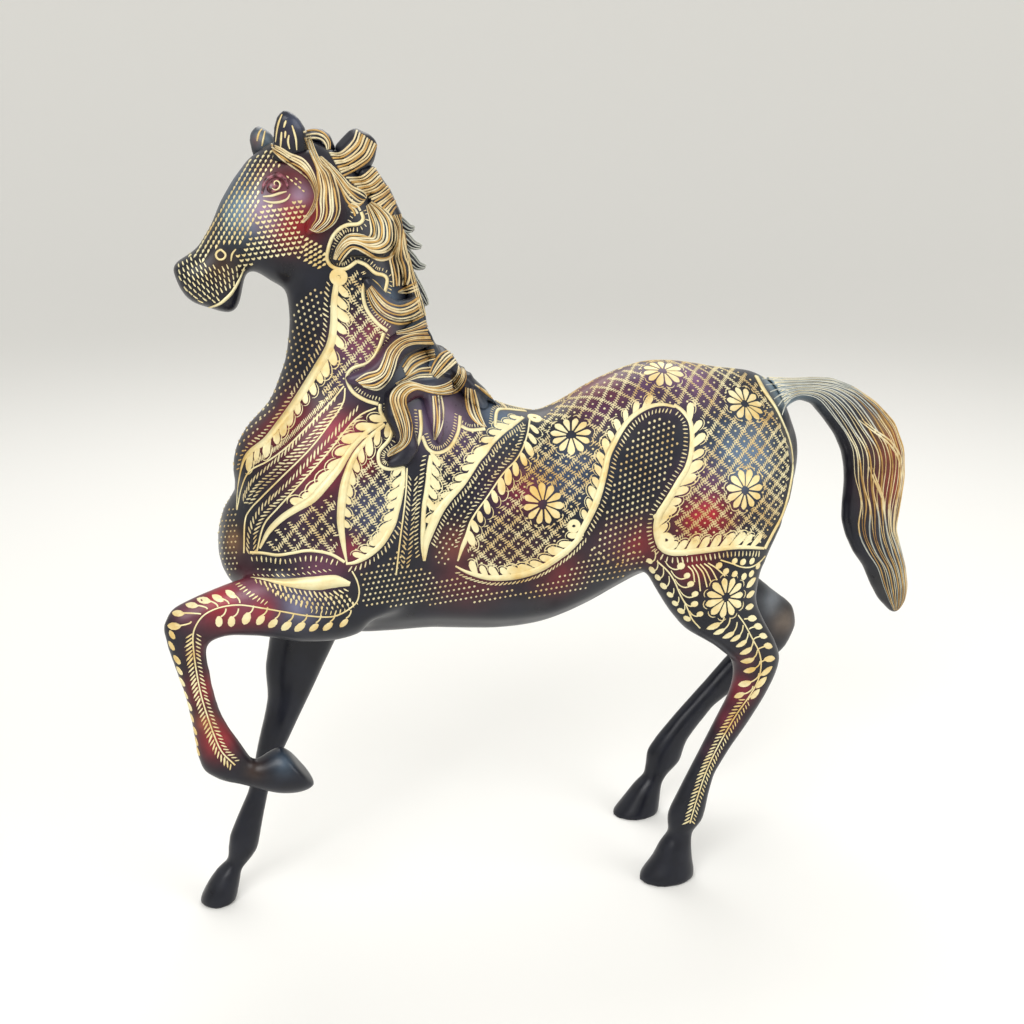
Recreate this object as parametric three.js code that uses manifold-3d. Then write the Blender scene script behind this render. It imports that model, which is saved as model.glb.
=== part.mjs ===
// A standing horse figurine of hollow-cast brass, one foreleg raised, brazed up from separate castings.
// Units are millimetres, +Z is up, the head points to -X and the near (left) side is -Y.
// The origin is on the ground at the middle of the figure's footprint.
import * as THREE from "three";
import { mergeVertices } from "three/addons/utils/BufferGeometryUtils.js";
import Module from "manifold-3d";

const wasm = await Module();
wasm.setup();

// Driving dimensions
const wall = 4; // casting thickness of the hollow trunk, neck and head
const gap = 0.3; // brazing gap between neighbouring castings
const studRadius = 4; // threaded rod that holds the tail
const studSeat = [149, 356.5]; // where the rod passes the rump, in the side view
const studSlope = [0.88, 0.475];
const studInner = 24;
const studOuter = 20;
const bossRadius = 12; // thickened seat inside the rump
const bossDepth = 10;
const washerRadius = 9;
const washerLength = 1.6;
const nutRadius = 7.5;
const nutLength = 6.5;
const spigotLength = 13; // locating tenon on the top of each leg casting

// The neck stands on a joint plane through a point of the side view.
// The head is what lies in front of the corner at the throat.
const neckBase = { at: [-246, 322], towards: [-0.256, 0.967] };
const throatCorner = [[-203, 444], [-184, 548]];
const nearThighCut = 200;
const offThighCut = 203;
const offArmpitCut = 203;
const nearKneeCut = 214;
const offKneeCut = 148;
const nearHockCut = 152;
const offHockCut = 133;

// Every casting is a loft.
// A section runs from one edge of the side view to the other, with a half width across:
// [edge x, edge z, opposite edge x, opposite edge z, half width, middle y]
const trunkSections = [
  [-250, 312, -247, 254, 27, 0],
  [-236, 345, -236, 238, 39, 0],
  [-205, 378, -208, 221, 48, 0],
  [-160, 390, -165, 209, 53, 0],
  [-115, 384, -118, 208, 55, 0],
  [-72, 372, -72, 203, 57, 0],
  [-32, 359, -35, 205, 58, 0],
  [8, 378, 2, 217, 56, 0],
  [48, 391, 38, 234, 57, 0],
  [90, 386, 80, 238, 57, 0],
  [124, 376, 122, 242, 51, 0],
  [148, 357, 146, 255, 38, 0],
  [161, 336, 159, 283, 20, 0],
];
const neckSections = [
  [-250, 300, -60, 330, 46, 0],
  [-246, 330, -70, 362, 46, 0],
  [-236, 354, -85, 378, 42, 0],
  [-217, 378, -102, 392, 37, 0],
  [-206, 404, -113, 411, 32, 0],
  [-202, 430, -118, 433, 29, 0],
  [-204, 455, -121, 458, 27.5, 0],
  [-210, 480, -130, 483, 26, 0],
  [-214, 508, -143, 507, 24, 0],
  [-212, 530, -158, 527, 20, 0],
  [-205, 541, -172, 539, 13, 0],
];
const headSections = [
  [-190, 546, -168, 470, 18, 0],
  [-207, 542, -186, 452, 24, 0],
  [-222, 532, -203, 449, 26.5, 0],
  [-232, 520, -212, 455, 24, 0],
  [-241, 506, -220, 461, 20, 0],
  [-248, 491, -227, 463, 17, 0],
  [-256, 479, -230, 456, 16.5, 0],
  [-265, 471, -235, 445, 17, 0],
  [-270, 464, -246, 440, 15.5, 0],
  [-270, 457, -258, 442, 11, 0],
];
const nearShoulderSections = [
  [-205, 375, -140, 378, 14, -24],
  [-222, 340, -125, 345, 20, -30],
  [-232, 300, -118, 305, 24, -33],
  [-232, 268, -120, 268, 25, -35],
  [-215, 242, -135, 240, 20, -36],
];
const nearForelegSections = [
  [-165, 285, -165, 222, 21, -36],
  [-190, 283, -187, 219, 21, -39],
  [-215, 278, -212, 222, 18, -42],
  [-238, 272, -236, 230, 15, -44],
  [-257, 267, -256, 233, 12.5, -45],
  [-275, 261, -268, 230, 11.5, -45],
  [-291, 254, -271, 225, 11, -45],
  [-297, 243, -271, 219, 10.5, -45],
  [-295, 228, -270, 211, 9.5, -45],
  [-291, 211, -269.5, 203, 9, -45],
  [-287, 195, -268, 192, 8.5, -45],
  [-284.5, 178, -265, 178, 8.5, -45],
  [-283, 163, -260, 166, 9, -45],
  [-282, 149, -254, 155, 10, -45],
  [-279, 137, -249.5, 146.5, 10.5, -45],
  [-268, 128.5, -246.5, 141, 9, -45],
  [-254, 123, -244, 139, 7.5, -45],
  [-241, 117.5, -239, 141.5, 10, -45],
  [-229, 113, -235, 144, 12, -45],
  [-215, 112, -231, 146, 13.5, -45],
  [-204, 116, -226, 147, 14, -45],
];
const offForelegSections = [
  [-215, 262, -150, 262, 20, 34],
  [-220, 225, -160, 225, 20, 37],
  [-225, 195, -173, 195, 17.5, 37],
  [-230, 170, -187, 170, 15, 33.5],
  [-229, 152, -197, 152, 12.5, 30],
  [-232, 138, -205, 138, 11.5, 28],
  [-238, 118, -216, 118, 10, 25],
  [-243, 98, -227, 98, 8.5, 22],
  [-248, 80, -233.5, 80, 8, 19.5],
  [-257, 63, -238, 63, 9, 16.5],
  [-264, 48, -241.5, 48, 10, 14.5],
  [-265.5, 38, -244, 38, 9.5, 13.5],
  [-266.5, 30, -250, 30, 7, 12.5],
  [-275, 23, -257, 23, 9, 12],
  [-282, 14, -258.5, 14, 11.5, 11],
  [-287, 5, -261, 5, 13.5, 10.3],
  [-289, 0, -262, 0, 14, 10],
];
const nearHindSections = [
  [30, 345, 138, 350, 20, -30],
  [22, 310, 156, 312, 28, -33],
  [25, 275, 153, 275, 28, -37],
  [35, 245, 128, 245, 25, -43],
  [50, 220, 122, 220, 21, -47],
  [62, 205, 127, 205, 18.5, -48],
  [85, 190, 134, 190, 15, -48.5],
  [102, 175, 140, 175, 13, -48.5],
  [104, 160, 136, 160, 11.5, -48.5],
  [100, 145, 129, 145, 10.5, -48.5],
  [90, 125, 117, 125, 9.5, -48.5],
  [80.5, 105, 103, 105, 8.5, -48.5],
  [71, 85, 92, 85, 8, -48],
  [63, 68, 88, 68, 9, -48],
  [57, 55, 86, 55, 10, -48],
  [56.5, 47, 84, 47, 9.5, -48],
  [58, 38, 76.5, 38, 7.5, -47.5],
  [51, 28, 76, 28, 10.5, -47.5],
  [45.5, 16, 77, 16, 13, -47.5],
  [38, 6, 79, 6, 15.5, -47.5],
  [35, 0, 79, 0, 16.5, -47.5],
];
const offHindSections = [
  [30, 345, 138, 350, 20, 30],
  [22, 310, 156, 312, 28, 33],
  [25, 275, 153, 275, 28, 37],
  [48, 246, 150, 254, 25, 43],
  [76, 221, 150, 229, 22, 46],
  [105, 196, 158, 207, 18, 48],
  [132, 172, 180, 188, 14.5, 48],
  [151, 155, 199, 173, 12.5, 48],
  [157, 147, 203, 156, 11.5, 48],
  [152, 141, 195, 137, 10.5, 48],
  [142, 131, 170, 116, 9.5, 48],
  [117, 103, 132, 90, 8.5, 48],
  [101, 86, 119, 74, 8.5, 48],
  [85, 67, 110, 62, 9.5, 48],
  [76, 54, 107.5, 54, 10, 48],
  [75.5, 45, 105, 44, 9.5, 48],
  [74, 33, 94, 33, 7.5, 48],
  [66, 25, 89, 25, 10, 48],
  [57, 13, 88, 13, 13, 48],
  [50, 4, 87, 4, 15, 48],
  [47, 0, 87, 0, 16, 48],
];
const tailSections = [
  [143, 376, 152, 345, 11, 0],
  [151, 373, 157, 352, 9.5, 0],
  [163, 372, 166, 356, 8.5, 0],
  [178, 372, 177, 352, 9.5, 0],
  [192, 371, 188, 340, 10.5, 0],
  [210, 364, 199, 326, 12, 0],
  [230, 351, 206, 312, 13.5, 0],
  [247, 335, 209, 299, 14, 0],
  [257, 315, 210, 287, 14, 0],
  [260, 292, 209.5, 272, 13.5, 0],
  [258.5, 268, 210, 259, 13, 0],
  [257, 250, 214.5, 246, 12.5, 0],
  [262, 234, 222, 232, 12, 0],
  [268, 218, 232, 219, 11, 0],
  [272, 200, 240, 203, 9.5, 0],
  [271, 187, 248, 190, 7.5, 0],
  [266, 178.5, 258, 180, 4, 0],
];
const leftEarSections = [
  [-209, 530, -186, 530, 7, -14],
  [-207, 545, -188, 545, 6.5, -17],
  [-204, 554, -193, 553.5, 4.5, -18],
  [-201, 559, -198, 559, 1.6, -18.5],
];
const rightEarSections = [
  [-217, 526, -196, 526, 7, 13],
  [-219, 538, -203, 538, 6.2, 15],
  [-217.5, 545, -207.5, 545, 4.6, 16],
  [-215, 549, -212, 549, 1.6, 16.5],
];
const pollTuftFrontSections = [
  [-190, 545, -187, 528, 8, 0],
  [-181, 550, -180, 528, 10, 0],
  [-172, 547, -174, 529, 9, 0],
  [-169, 540, -169.5, 531, 5, 0],
];
const pollTuftRearSections = [
  [-168, 539, -163, 509, 11, 0],
  [-161, 546, -152, 517, 12, 0],
  [-155, 550, -144, 527, 9, 0],
  [-150, 547, -141, 538, 4, 0],
];
const crestSections = [
  [-162, 522, -143, 526, 11, 0],
  [-152, 508, -133, 511, 14, 0],
  [-142, 495, -126, 495, 14.5, 0],
  [-134, 480, -119, 484, 14, 0],
  [-129, 466, -115, 470, 14, 0],
  [-126, 450, -112, 454, 14, 0],
  [-123, 438, -108, 438, 15, 0],
  [-121, 423, -109, 420, 16, 0],
  [-115, 408, -101, 403, 18, 0],
  [-104, 394, -86, 392, 20, 0],
  [-86, 384, -72, 378, 20, 0],
  [-69, 371, -61, 363, 11, 0],
];

// Locks of the mane on one side. Their y is worked out so that they lie on the neck:
// [edge x, edge z, opposite edge x, opposite edge z, half thickness]
const hookLock = [
  [-154, 506, -138, 511, 8],
  [-148, 492, -131, 494, 8],
  [-149, 484, -133, 475, 8],
  [-157, 486, -151, 470, 8],
  [-168, 486, -164, 472, 7],
  [-177, 475, -174, 467, 4],
];
const bowlLock = [
  [-112, 447, -114, 431, 8],
  [-126, 443, -131, 428, 8],
  [-138, 445, -146, 434, 7.5],
  [-144, 451, -155, 445, 6],
  [-152, 459, -158, 457, 3.5],
];
const sweepLock = [
  [-114, 430, -107, 411, 8.5],
  [-132, 425, -124, 409, 8.2],
  [-143, 420, -134, 405, 8],
  [-150, 411, -139, 396, 8],
  [-159, 404, -149, 388, 7],
  [-171, 398, -168, 391, 4],
];
const knobLock = [
  [-115, 402, -112, 385, 10],
  [-105, 410, -103, 379, 15],
  [-96, 405, -93, 385, 14],
  [-91, 396, -91, 389, 7],
];
const scrollLock = [
  [-99, 392, -98, 376, 9],
  [-116, 394, -114, 378, 8.5],
  [-137, 394, -128, 380, 8],
  [-150, 380, -134, 376, 8],
  [-146, 364, -131, 367, 8],
  [-141, 355, -126, 353, 7.5],
  [-144, 348, -132, 340, 6.5],
  [-148, 344, -146, 338, 4],
];
const dropLock = [
  [-122, 384, -112, 384, 8],
  [-120, 371, -110, 371, 7],
  [-117, 361, -108, 361, 6],
  [-114, 352, -111, 352, 3.5],
];
const withersLock = [
  [-96, 386, -84, 392, 9],
  [-89, 373, -78, 380, 9],
  [-80, 359, -70, 366, 7],
  [-72, 353, -67, 357, 4],
];
const cheekLock = [
  [-211, 537, -194, 544, 6],
  [-201, 531, -182, 534, 6.5],
  [-191, 523, -175, 521, 7],
  [-185, 514, -170, 507, 7],
  [-185, 504, -172, 495, 6.5],
  [-190, 496, -181, 488, 5],
  [-192, 490, -188, 486, 3],
];

// A closed solid through the sections. Its ends are flat, or round over the depths given.
// grow moves every face outwards, for a clearance, or inwards, for the hollow of a casting.
function loft(sections, { rings, sides = 16, grow = 0, egg = 0, round = [0, 0] }) {
  const point = (x, y, z) => new THREE.Vector3(x, y, z);
  const edge = new THREE.CatmullRomCurve3(sections.map(([x, z, , , , y]) => point(x, y, z)));
  const opposite = new THREE.CatmullRomCurve3(sections.map(([, , x, z, , y]) => point(x, y, z)));
  const width = new THREE.CatmullRomCurve3(sections.map((section, i) => point(i, section[4], 0)));
  const stations = Array.from({ length: rings }, (_, i) => {
    const t = i / (rings - 1);
    const a = edge.getPoint(t);
    const b = opposite.getPoint(t);
    const middle = a.clone().add(b).multiplyScalar(0.5);
    const half = a.clone().sub(b).multiplyScalar(0.5);
    half.setLength(Math.max(half.length() + grow, 0.6));
    return { middle, half, across: Math.max(width.getPoint(t).y + grow, 0.6) };
  });
  const roundSteps = 2;
  const extend = (end, inner, depth) => {
    const out = end.middle.clone().sub(inner.middle).normalize();
    const cap = Array.from({ length: depth > 0 ? roundSteps : 0 }, (_, i) => {
      const angle = ((i + 1) / (roundSteps + 1)) * (Math.PI / 2);
      return {
        middle: end.middle.clone().addScaledVector(out, (depth + grow) * Math.sin(angle)),
        half: end.half.clone().multiplyScalar(Math.cos(angle)),
        across: end.across * Math.cos(angle),
      };
    });
    return { cap, tip: end.middle.clone().addScaledVector(out, depth + grow) };
  };
  const head = extend(stations[0], stations[1], round[0]);
  const foot = extend(stations[rings - 1], stations[rings - 2], round[1]);
  const all = [...head.cap.reverse(), ...stations, ...foot.cap];
  const positions = [];
  all.forEach(({ middle, half, across }) => {
    for (let k = 0; k < sides; k++) {
      const turn = (k / sides) * 2 * Math.PI;
      const p = middle.clone().addScaledVector(half, Math.cos(turn));
      p.y += across * Math.sin(turn) * (1 - egg * Math.cos(turn));
      positions.push(p.x, p.y, p.z);
    }
  });
  positions.push(...head.tip.toArray(), ...foot.tip.toArray());
  const headTip = all.length * sides;
  const footTip = headTip + 1;
  const index = [];
  for (let k = 0; k < sides; k++) {
    const next = (k + 1) % sides;
    for (let i = 0; i < all.length - 1; i++) {
      const row = i * sides;
      index.push(row + k, row + next, row + sides + k);
      index.push(row + next, row + sides + next, row + sides + k);
    }
    const last = (all.length - 1) * sides;
    index.push(headTip, next, k);
    index.push(footTip, last + k, last + next);
  }
  const geometry = new THREE.BufferGeometry();
  geometry.setAttribute("position", new THREE.Float32BufferAttribute(positions, 3));
  geometry.setIndex(index);
  return toSolid(geometry);
}

function toSolid(geometry) {
  const bare = new THREE.BufferGeometry();
  bare.setAttribute("position", geometry.getAttribute("position"));
  bare.setIndex(geometry.index);
  const merged = mergeVertices(bare, 1e-4);
  const vertProperties = merged.attributes.position.array;
  const triVerts = new Uint32Array(merged.index.array);
  const made = new wasm.Manifold(new wasm.Mesh({ numProp: 3, vertProperties, triVerts }));
  return made.volume() > 0 ? made : new wasm.Manifold(
    new wasm.Mesh({ numProp: 3, vertProperties, triVerts: triVerts.reverse() }),
  );
}

function toGeometry(solid) {
  const mesh = solid.getMesh();
  const geometry = new THREE.BufferGeometry();
  geometry.setAttribute("position", new THREE.Float32BufferAttribute(mesh.vertProperties, 3));
  geometry.setIndex(new THREE.Uint32BufferAttribute(mesh.triVerts, 1));
  geometry.computeVertexNormals();
  return geometry;
}

const join = (...solids) => solids.reduce((sum, solid) => sum.add(solid));
const mirror = (sections) => sections.map(([a, b, c, d, w, y]) => [a, b, c, d, w, -y]);
const largest = (solid) => solid.decompose().sort((a, b) => b.volume() - a.volume())[0];

// The part of a solid on one side of a plane, short of it by half the brazing gap
function beyond(solid, [nx, ny, nz], offset) {
  return solid.trimByPlane([nx, ny, nz], offset + gap / 2);
}
const above = (solid, z) => beyond(solid, [0, 0, 1], z);
const below = (solid, z) => beyond(solid, [0, 0, -1], -z);
const leftHalf = (solid) => beyond(solid, [0, -1, 0], 0);
const rightHalf = (solid) => beyond(solid, [0, 1, 0], 0);

// The castings on the two sides of a joint plane of the side view: the one it points towards comes first
function parted(solid, { at: [x, z], towards: [nx, nz] }) {
  const offset = nx * x + nz * z;
  return [beyond(solid, [nx, 0, nz], offset), beyond(solid, [-nx, 0, -nz], -offset)];
}

// The space in front of the throat corner
function headBlock(grow) {
  const [[cornerX, cornerZ], [topX, topZ]] = throatCorner;
  const outline = new THREE.Shape([
    new THREE.Vector2(cornerX + grow, cornerZ - grow),
    new THREE.Vector2(topX + grow, topZ),
    new THREE.Vector2(topX + grow, topZ + 40),
    new THREE.Vector2(cornerX - 120, topZ + 40),
    new THREE.Vector2(cornerX - 120, cornerZ - 20 - grow),
    new THREE.Vector2(cornerX - 25, cornerZ - 20 - grow),
  ]);
  const geometry = new THREE.ExtrudeGeometry(outline, { depth: 160, bevelEnabled: false });
  geometry.rotateX(Math.PI / 2);
  geometry.translate(0, 80, 0);
  return toSolid(geometry);
}

function rod(radius, start, end, sides) {
  const geometry = new THREE.CylinderGeometry(radius, radius, end.distanceTo(start), sides);
  const lean = new THREE.Quaternion().setFromUnitVectors(
    new THREE.Vector3(0, 1, 0),
    end.clone().sub(start).normalize(),
  );
  geometry.applyQuaternion(lean);
  geometry.translate(...start.clone().add(end).multiplyScalar(0.5).toArray());
  return toSolid(geometry);
}

// A leg cut across: the lower casting carries a round tenon that sits in a socket of the upper one
function spigotJoint(upper, lower, [x, y, z], radius, lean = [0, 0, 1]) {
  const up = new THREE.Vector3(...lean).normalize();
  const foot = new THREE.Vector3(x, y, z).addScaledVector(up, -spigotLength / 2);
  const top = new THREE.Vector3(x, y, z).addScaledVector(up, spigotLength);
  const socketTop = top.clone().addScaledVector(up, gap);
  return [
    upper.subtract(rod(radius + gap, foot, socketTop, 16)),
    lower.add(rod(radius, foot, top, 16)),
  ];
}

// Half the neck's width at a point of the side view, so that a lock can lie on it
function neckSide(x, z) {
  let best = { miss: Infinity, y: 0 };
  neckSections.slice(0, -1).forEach(([ax, az, bx, bz, w], i) => {
    const [cx, cz, dx, dz, v] = neckSections[i + 1];
    for (let step = 0; step <= 8; step++) {
      const s = step / 8;
      const mix = (p, q) => p + (q - p) * s;
      const mid = [mix(ax + bx, cx + dx) / 2, mix(az + bz, cz + dz) / 2];
      const half = [mix(ax - bx, cx - dx) / 2, mix(az - bz, cz - dz) / 2];
      const depth = Math.hypot(...half);
      const along = ((x - mid[0]) * half[0] + (z - mid[1]) * half[1]) / depth;
      const miss = Math.abs(((x - mid[0]) * half[1] - (z - mid[1]) * half[0]) / depth);
      const share = Math.min(Math.abs(along / depth), 0.93);
      if (miss < best.miss) best = { miss, y: mix(w, v) * Math.sqrt(1 - share * share) };
    }
  });
  return best.y;
}

function lockOnNeck(sections, grow, sunk = 0) {
  const laid = sections.map(([ax, az, bx, bz, w]) => {
    return [ax, az, bx, bz, w, -neckSide((ax + bx) / 2, (az + bz) / 2) + sunk];
  });
  return loft(laid, { rings: sections.length + 1, sides: 8, grow, round: [0, 1.5] });
}

// The outer skin of the castings, or the core inside them where grow is negative
function trunkForm(grow) {
  const fine = grow < 0 ? { rings: 25, sides: 10 } : { rings: 25, sides: 18 };
  return loft(trunkSections, { ...fine, grow, egg: 0.1, round: [6, 6] });
}
function neckForm(grow) {
  const fine = grow < 0 ? { rings: 11, sides: 10 } : { rings: 11, sides: 16 };
  return loft(neckSections, { ...fine, grow, round: [0, 4] });
}
function headForm(grow) {
  const fine = grow < 0 ? { rings: 10, sides: 8 } : { rings: 10, sides: 16 };
  return loft(headSections, { ...fine, grow, egg: -0.06, round: [0, 2.5] });
}
function shoulderForm(sections, grow) {
  return loft(sections, { rings: 6, sides: 12, grow, round: [8, 8] });
}
function legForm(sections, grow) {
  return loft(sections, { rings: sections.length, sides: 12, grow });
}
function haunchForm(sections, grow) {
  return loft(sections, { rings: sections.length, sides: 12, grow, round: [14, 0] });
}

const farShoulderSections = mirror(nearShoulderSections);
const bodyForm = (grow) => join(
  trunkForm(grow),
  neckForm(grow),
  headForm(grow),
  shoulderForm(nearShoulderSections, grow),
  shoulderForm(farShoulderSections, grow),
);

// Legs
const clearance = bodyForm(gap);
const nearForeleg = legForm(nearForelegSections, 0).subtract(clearance);
const offForeleg = legForm(offForelegSections, 0);
const nearHind = haunchForm(nearHindSections, 0);
const offHind = haunchForm(offHindSections, 0);
let nearForearm = largest(above(nearForeleg, nearKneeCut));
let nearForeCannon = largest(below(nearForeleg, nearKneeCut));
let offForearm = above(below(offForeleg, offArmpitCut), offKneeCut);
let offForeCannon = below(offForeleg, offKneeCut);
let nearGaskin = above(below(nearHind, nearThighCut), nearHockCut);
let nearHindCannon = below(nearHind, nearHockCut);
let offGaskin = above(below(offHind, offThighCut), offHockCut);
let offHindCannon = below(offHind, offHockCut);
[nearForearm, nearForeCannon] = spigotJoint(
  nearForearm, nearForeCannon, [-281, -45, nearKneeCut], 5, [-0.1, 0, 1],
);
[offForearm, offForeCannon] = spigotJoint(
  offForearm, offForeCannon, [-213.5, 29.5, offKneeCut], 6, [0.28, 0.2, 1],
);
[nearGaskin, nearHindCannon] = spigotJoint(
  nearGaskin, nearHindCannon, [118, -48.5, nearHockCut], 5.5,
);
[offGaskin, offHindCannon] = spigotJoint(
  offGaskin, offHindCannon, [167, 48, offHockCut], 5.5, [0.5, 0, 1],
);

// Trunk, neck and head, hollow, each parted into a left and a right shell along the middle plane
const thighTops = 5; // sections of each hind leg that are hollow with the trunk
const haunchCore = (sections) => loft(
  sections.slice(0, thighTops),
  { rings: thighTops, sides: 10, grow: -wall, round: [14, 0] },
);
const core = join(
  trunkForm(-wall),
  neckForm(-wall),
  headForm(-wall),
  shoulderForm(nearShoulderSections, -wall),
  shoulderForm(farShoulderSections, -wall),
  haunchCore(nearHindSections),
  haunchCore(offHindSections),
);
const skin = join(
  bodyForm(0),
  above(nearHind, nearThighCut),
  above(offHind, offThighCut),
  above(offForeleg, offArmpitCut),
);
const [upperCastings, trunkSolid] = parted(skin, neckBase);
const headSolid = upperCastings.intersect(headBlock(-gap / 2));
const neckSolid = upperCastings.subtract(headBlock(gap / 2));
const studAxis = (along) => new THREE.Vector3(
  studSeat[0] + along * studSlope[0],
  0,
  studSeat[1] + along * studSlope[1],
);
const studHole = rod(studRadius + gap, studAxis(-studInner - 4), studAxis(studOuter + gap), 20);
const boss = rod(bossRadius, studAxis(-bossDepth), studAxis(-2), 20).intersect(trunkForm(-1));
let trunkShell = trunkSolid.subtract(core).add(boss).subtract(studHole);
const neckShell = neckSolid.subtract(core);
const headShell = headSolid.subtract(core);
const legRoots = {
  nearHind: { at: [96, -48, nearThighCut], lean: [0, 0, 1] },
  offHind: { at: [128, 47.5, offThighCut], lean: [-0.6, 0, 1] },
  offFore: { at: [-200, 37, offArmpitCut], lean: [0, 0, 1] },
  nearFore: { at: [-226, -43, 251], lean: [1, 0.25, 0.05] },
};
const rootRadius = 8;
const seat = (leg, { at, lean }) => {
  const [shell, carriedLeg] = spigotJoint(trunkShell, leg, at, rootRadius, lean);
  trunkShell = shell;
  return carriedLeg;
};
nearGaskin = seat(nearGaskin, legRoots.nearHind);
offGaskin = seat(offGaskin, legRoots.offHind);
offForearm = seat(offForearm, legRoots.offFore);
nearForearm = seat(nearForearm, legRoots.nearFore);

// Ears, tufts, forelock and mane, each cut to sit on what carries it
const leftEar = (grow) => loft(leftEarSections, { rings: 5, sides: 8, grow, round: [0, 1.5] });
const rightEar = (grow) => loft(rightEarSections, { rings: 5, sides: 8, grow, round: [0, 1.5] });
const tuftFront = (grow) => loft(pollTuftFrontSections, { rings: 5, sides: 8, grow, round: [2, 2] });
const tuftRear = (grow) => loft(pollTuftRearSections, { rings: 5, sides: 8, grow, round: [2, 2] });
const cheek = (grow) => lockOnNeck(cheekLock, grow, -2);
const crest = (grow) => loft(crestSections, { rings: 12, sides: 8, grow, round: [2, 3] });
const mirrored = (solid) => solid.mirror([0, 1, 0]);
const ears = join(leftEar(gap), rightEar(gap));
const tufts = join(tuftFront(gap), tuftRear(gap));
const cheeks = join(cheek(gap), mirrored(cheek(gap)));
const leftLocks = (grow) => join(
  crest(grow),
  lockOnNeck(hookLock, grow),
  lockOnNeck(bowlLock, grow),
  lockOnNeck(sweepLock, grow),
  lockOnNeck(knobLock, grow, 10),
  lockOnNeck(scrollLock, grow),
  lockOnNeck(dropLock, grow),
  lockOnNeck(withersLock, grow, 4),
);
const carried = clearance.add(haunchForm(nearHindSections, gap));
const leftMane = leftHalf(leftLocks(0)).subtract(carried).subtract(tufts).subtract(cheeks);
const rightMane = rightHalf(mirrored(leftLocks(0))).subtract(carried).subtract(tufts).subtract(cheeks);

// Tail with its threaded rod, nut and washer
const tail = loft(tailSections, { rings: 17, sides: 12, grow: 0, round: [0, 1.5] })
  .subtract(clearance)
  .subtract(studHole);
const stud = rod(studRadius, studAxis(-studInner), studAxis(studOuter), 20);
const ring = (radius, outer, length, sides) => rod(radius, studAxis(-outer - length), studAxis(-outer), sides)
  .subtract(studHole);
const washerSeat = bossDepth + gap;
const nutSeat = washerSeat + washerLength + gap;

// Finishes
function finish(color, roughness, metalness) {
  return new THREE.MeshStandardMaterial({ color, roughness, metalness });
}
const enamel = finish(0x1c1d29, 0.28, 0.35);
const blackEnamel = finish(0x14161f, 0.22, 0.3);
const gilt = finish(0xa8843f, 0.35, 0.9);
const bareBrass = finish(0xb5924c, 0.4, 1);

const figure = new THREE.Group();
function add(name, solid, material) {
  const mesh = new THREE.Mesh(toGeometry(largest(solid)), material);
  mesh.name = name;
  figure.add(mesh);
}

add("trunk_left_shell", leftHalf(trunkShell), enamel);
add("trunk_right_shell", rightHalf(trunkShell), enamel);
add("neck_left_shell", leftHalf(neckShell), enamel);
add("neck_right_shell", rightHalf(neckShell), enamel);
add("head_left_shell", leftHalf(headShell), enamel);
add("head_right_shell", rightHalf(headShell), enamel);
add("left_ear", leftEar(0).subtract(clearance), enamel);
add("right_ear", rightEar(0).subtract(clearance), enamel);
add("near_forearm", nearForearm, enamel);
add("near_fore_cannon_and_hoof", nearForeCannon, enamel);
add("off_forearm", offForearm, blackEnamel);
add("off_fore_cannon_and_hoof", offForeCannon, blackEnamel);
add("near_gaskin", nearGaskin, enamel);
add("near_hind_cannon_and_hoof", nearHindCannon, enamel);
add("off_gaskin", offGaskin, blackEnamel);
add("off_hind_cannon_and_hoof", offHindCannon, blackEnamel);
add("poll_tuft_front", tuftFront(0).subtract(clearance).subtract(ears), gilt);
add("poll_tuft_rear", tuftRear(0).subtract(clearance).subtract(tuftFront(gap)), gilt);
add("forelock_left", cheek(0).subtract(clearance).subtract(ears).subtract(tufts), gilt);
add("forelock_right", mirrored(cheek(0)).subtract(clearance).subtract(ears).subtract(tufts), gilt);
add("mane_left", leftMane, gilt);
add("mane_right", rightMane, gilt);
add("tail", tail, gilt);
add("tail_stud", stud, bareBrass);
add("tail_washer", ring(washerRadius, washerSeat, washerLength, 24), bareBrass);
add("tail_nut", ring(nutRadius, nutSeat, nutLength, 6), bareBrass);

// Centre the footprint on the origin
const box = new THREE.Box3().setFromObject(figure);
const centre = box.getCenter(new THREE.Vector3());
figure.position.set(-centre.x, -centre.y, -box.min.z);

export default figure;
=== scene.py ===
import math

import bmesh
import bpy
import numpy as np
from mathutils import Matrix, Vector
from mathutils.bvhtree import BVHTree


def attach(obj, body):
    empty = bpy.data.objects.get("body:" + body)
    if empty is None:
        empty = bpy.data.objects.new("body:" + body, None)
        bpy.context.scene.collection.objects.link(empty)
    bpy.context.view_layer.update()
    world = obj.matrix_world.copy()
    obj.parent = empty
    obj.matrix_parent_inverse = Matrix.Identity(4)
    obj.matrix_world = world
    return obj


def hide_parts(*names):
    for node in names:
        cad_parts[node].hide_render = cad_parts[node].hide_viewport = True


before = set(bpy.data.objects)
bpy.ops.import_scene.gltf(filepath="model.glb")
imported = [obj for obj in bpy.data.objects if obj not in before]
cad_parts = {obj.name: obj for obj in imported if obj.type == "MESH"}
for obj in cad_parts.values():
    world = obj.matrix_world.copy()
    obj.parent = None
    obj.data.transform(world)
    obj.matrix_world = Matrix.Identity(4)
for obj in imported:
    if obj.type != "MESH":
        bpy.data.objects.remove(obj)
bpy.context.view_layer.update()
mm = 0.001
bpy.context.scene.view_settings.view_transform = "Standard"


def linear(hexColour):  # sRGB hex to the linear colour that a socket takes
    parts = [int(hexColour[i:i + 2], 16) / 255 for i in (1, 3, 5)]
    return [c / 12.92 if c <= 0.04045 else ((c + 0.055) / 1.055) ** 2.4 for c in parts] + [1.0]


# The horse faces -X and its near side is -Y. Lengths are in mm, measured from the ground,
# with x and y from the point between the hooves that the figure was drawn about.
drawnShift = Vector((12.5, 0, 0))


def spot(x, y, z):
    return (Vector((x, y, z)) + drawnShift) * mm


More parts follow.
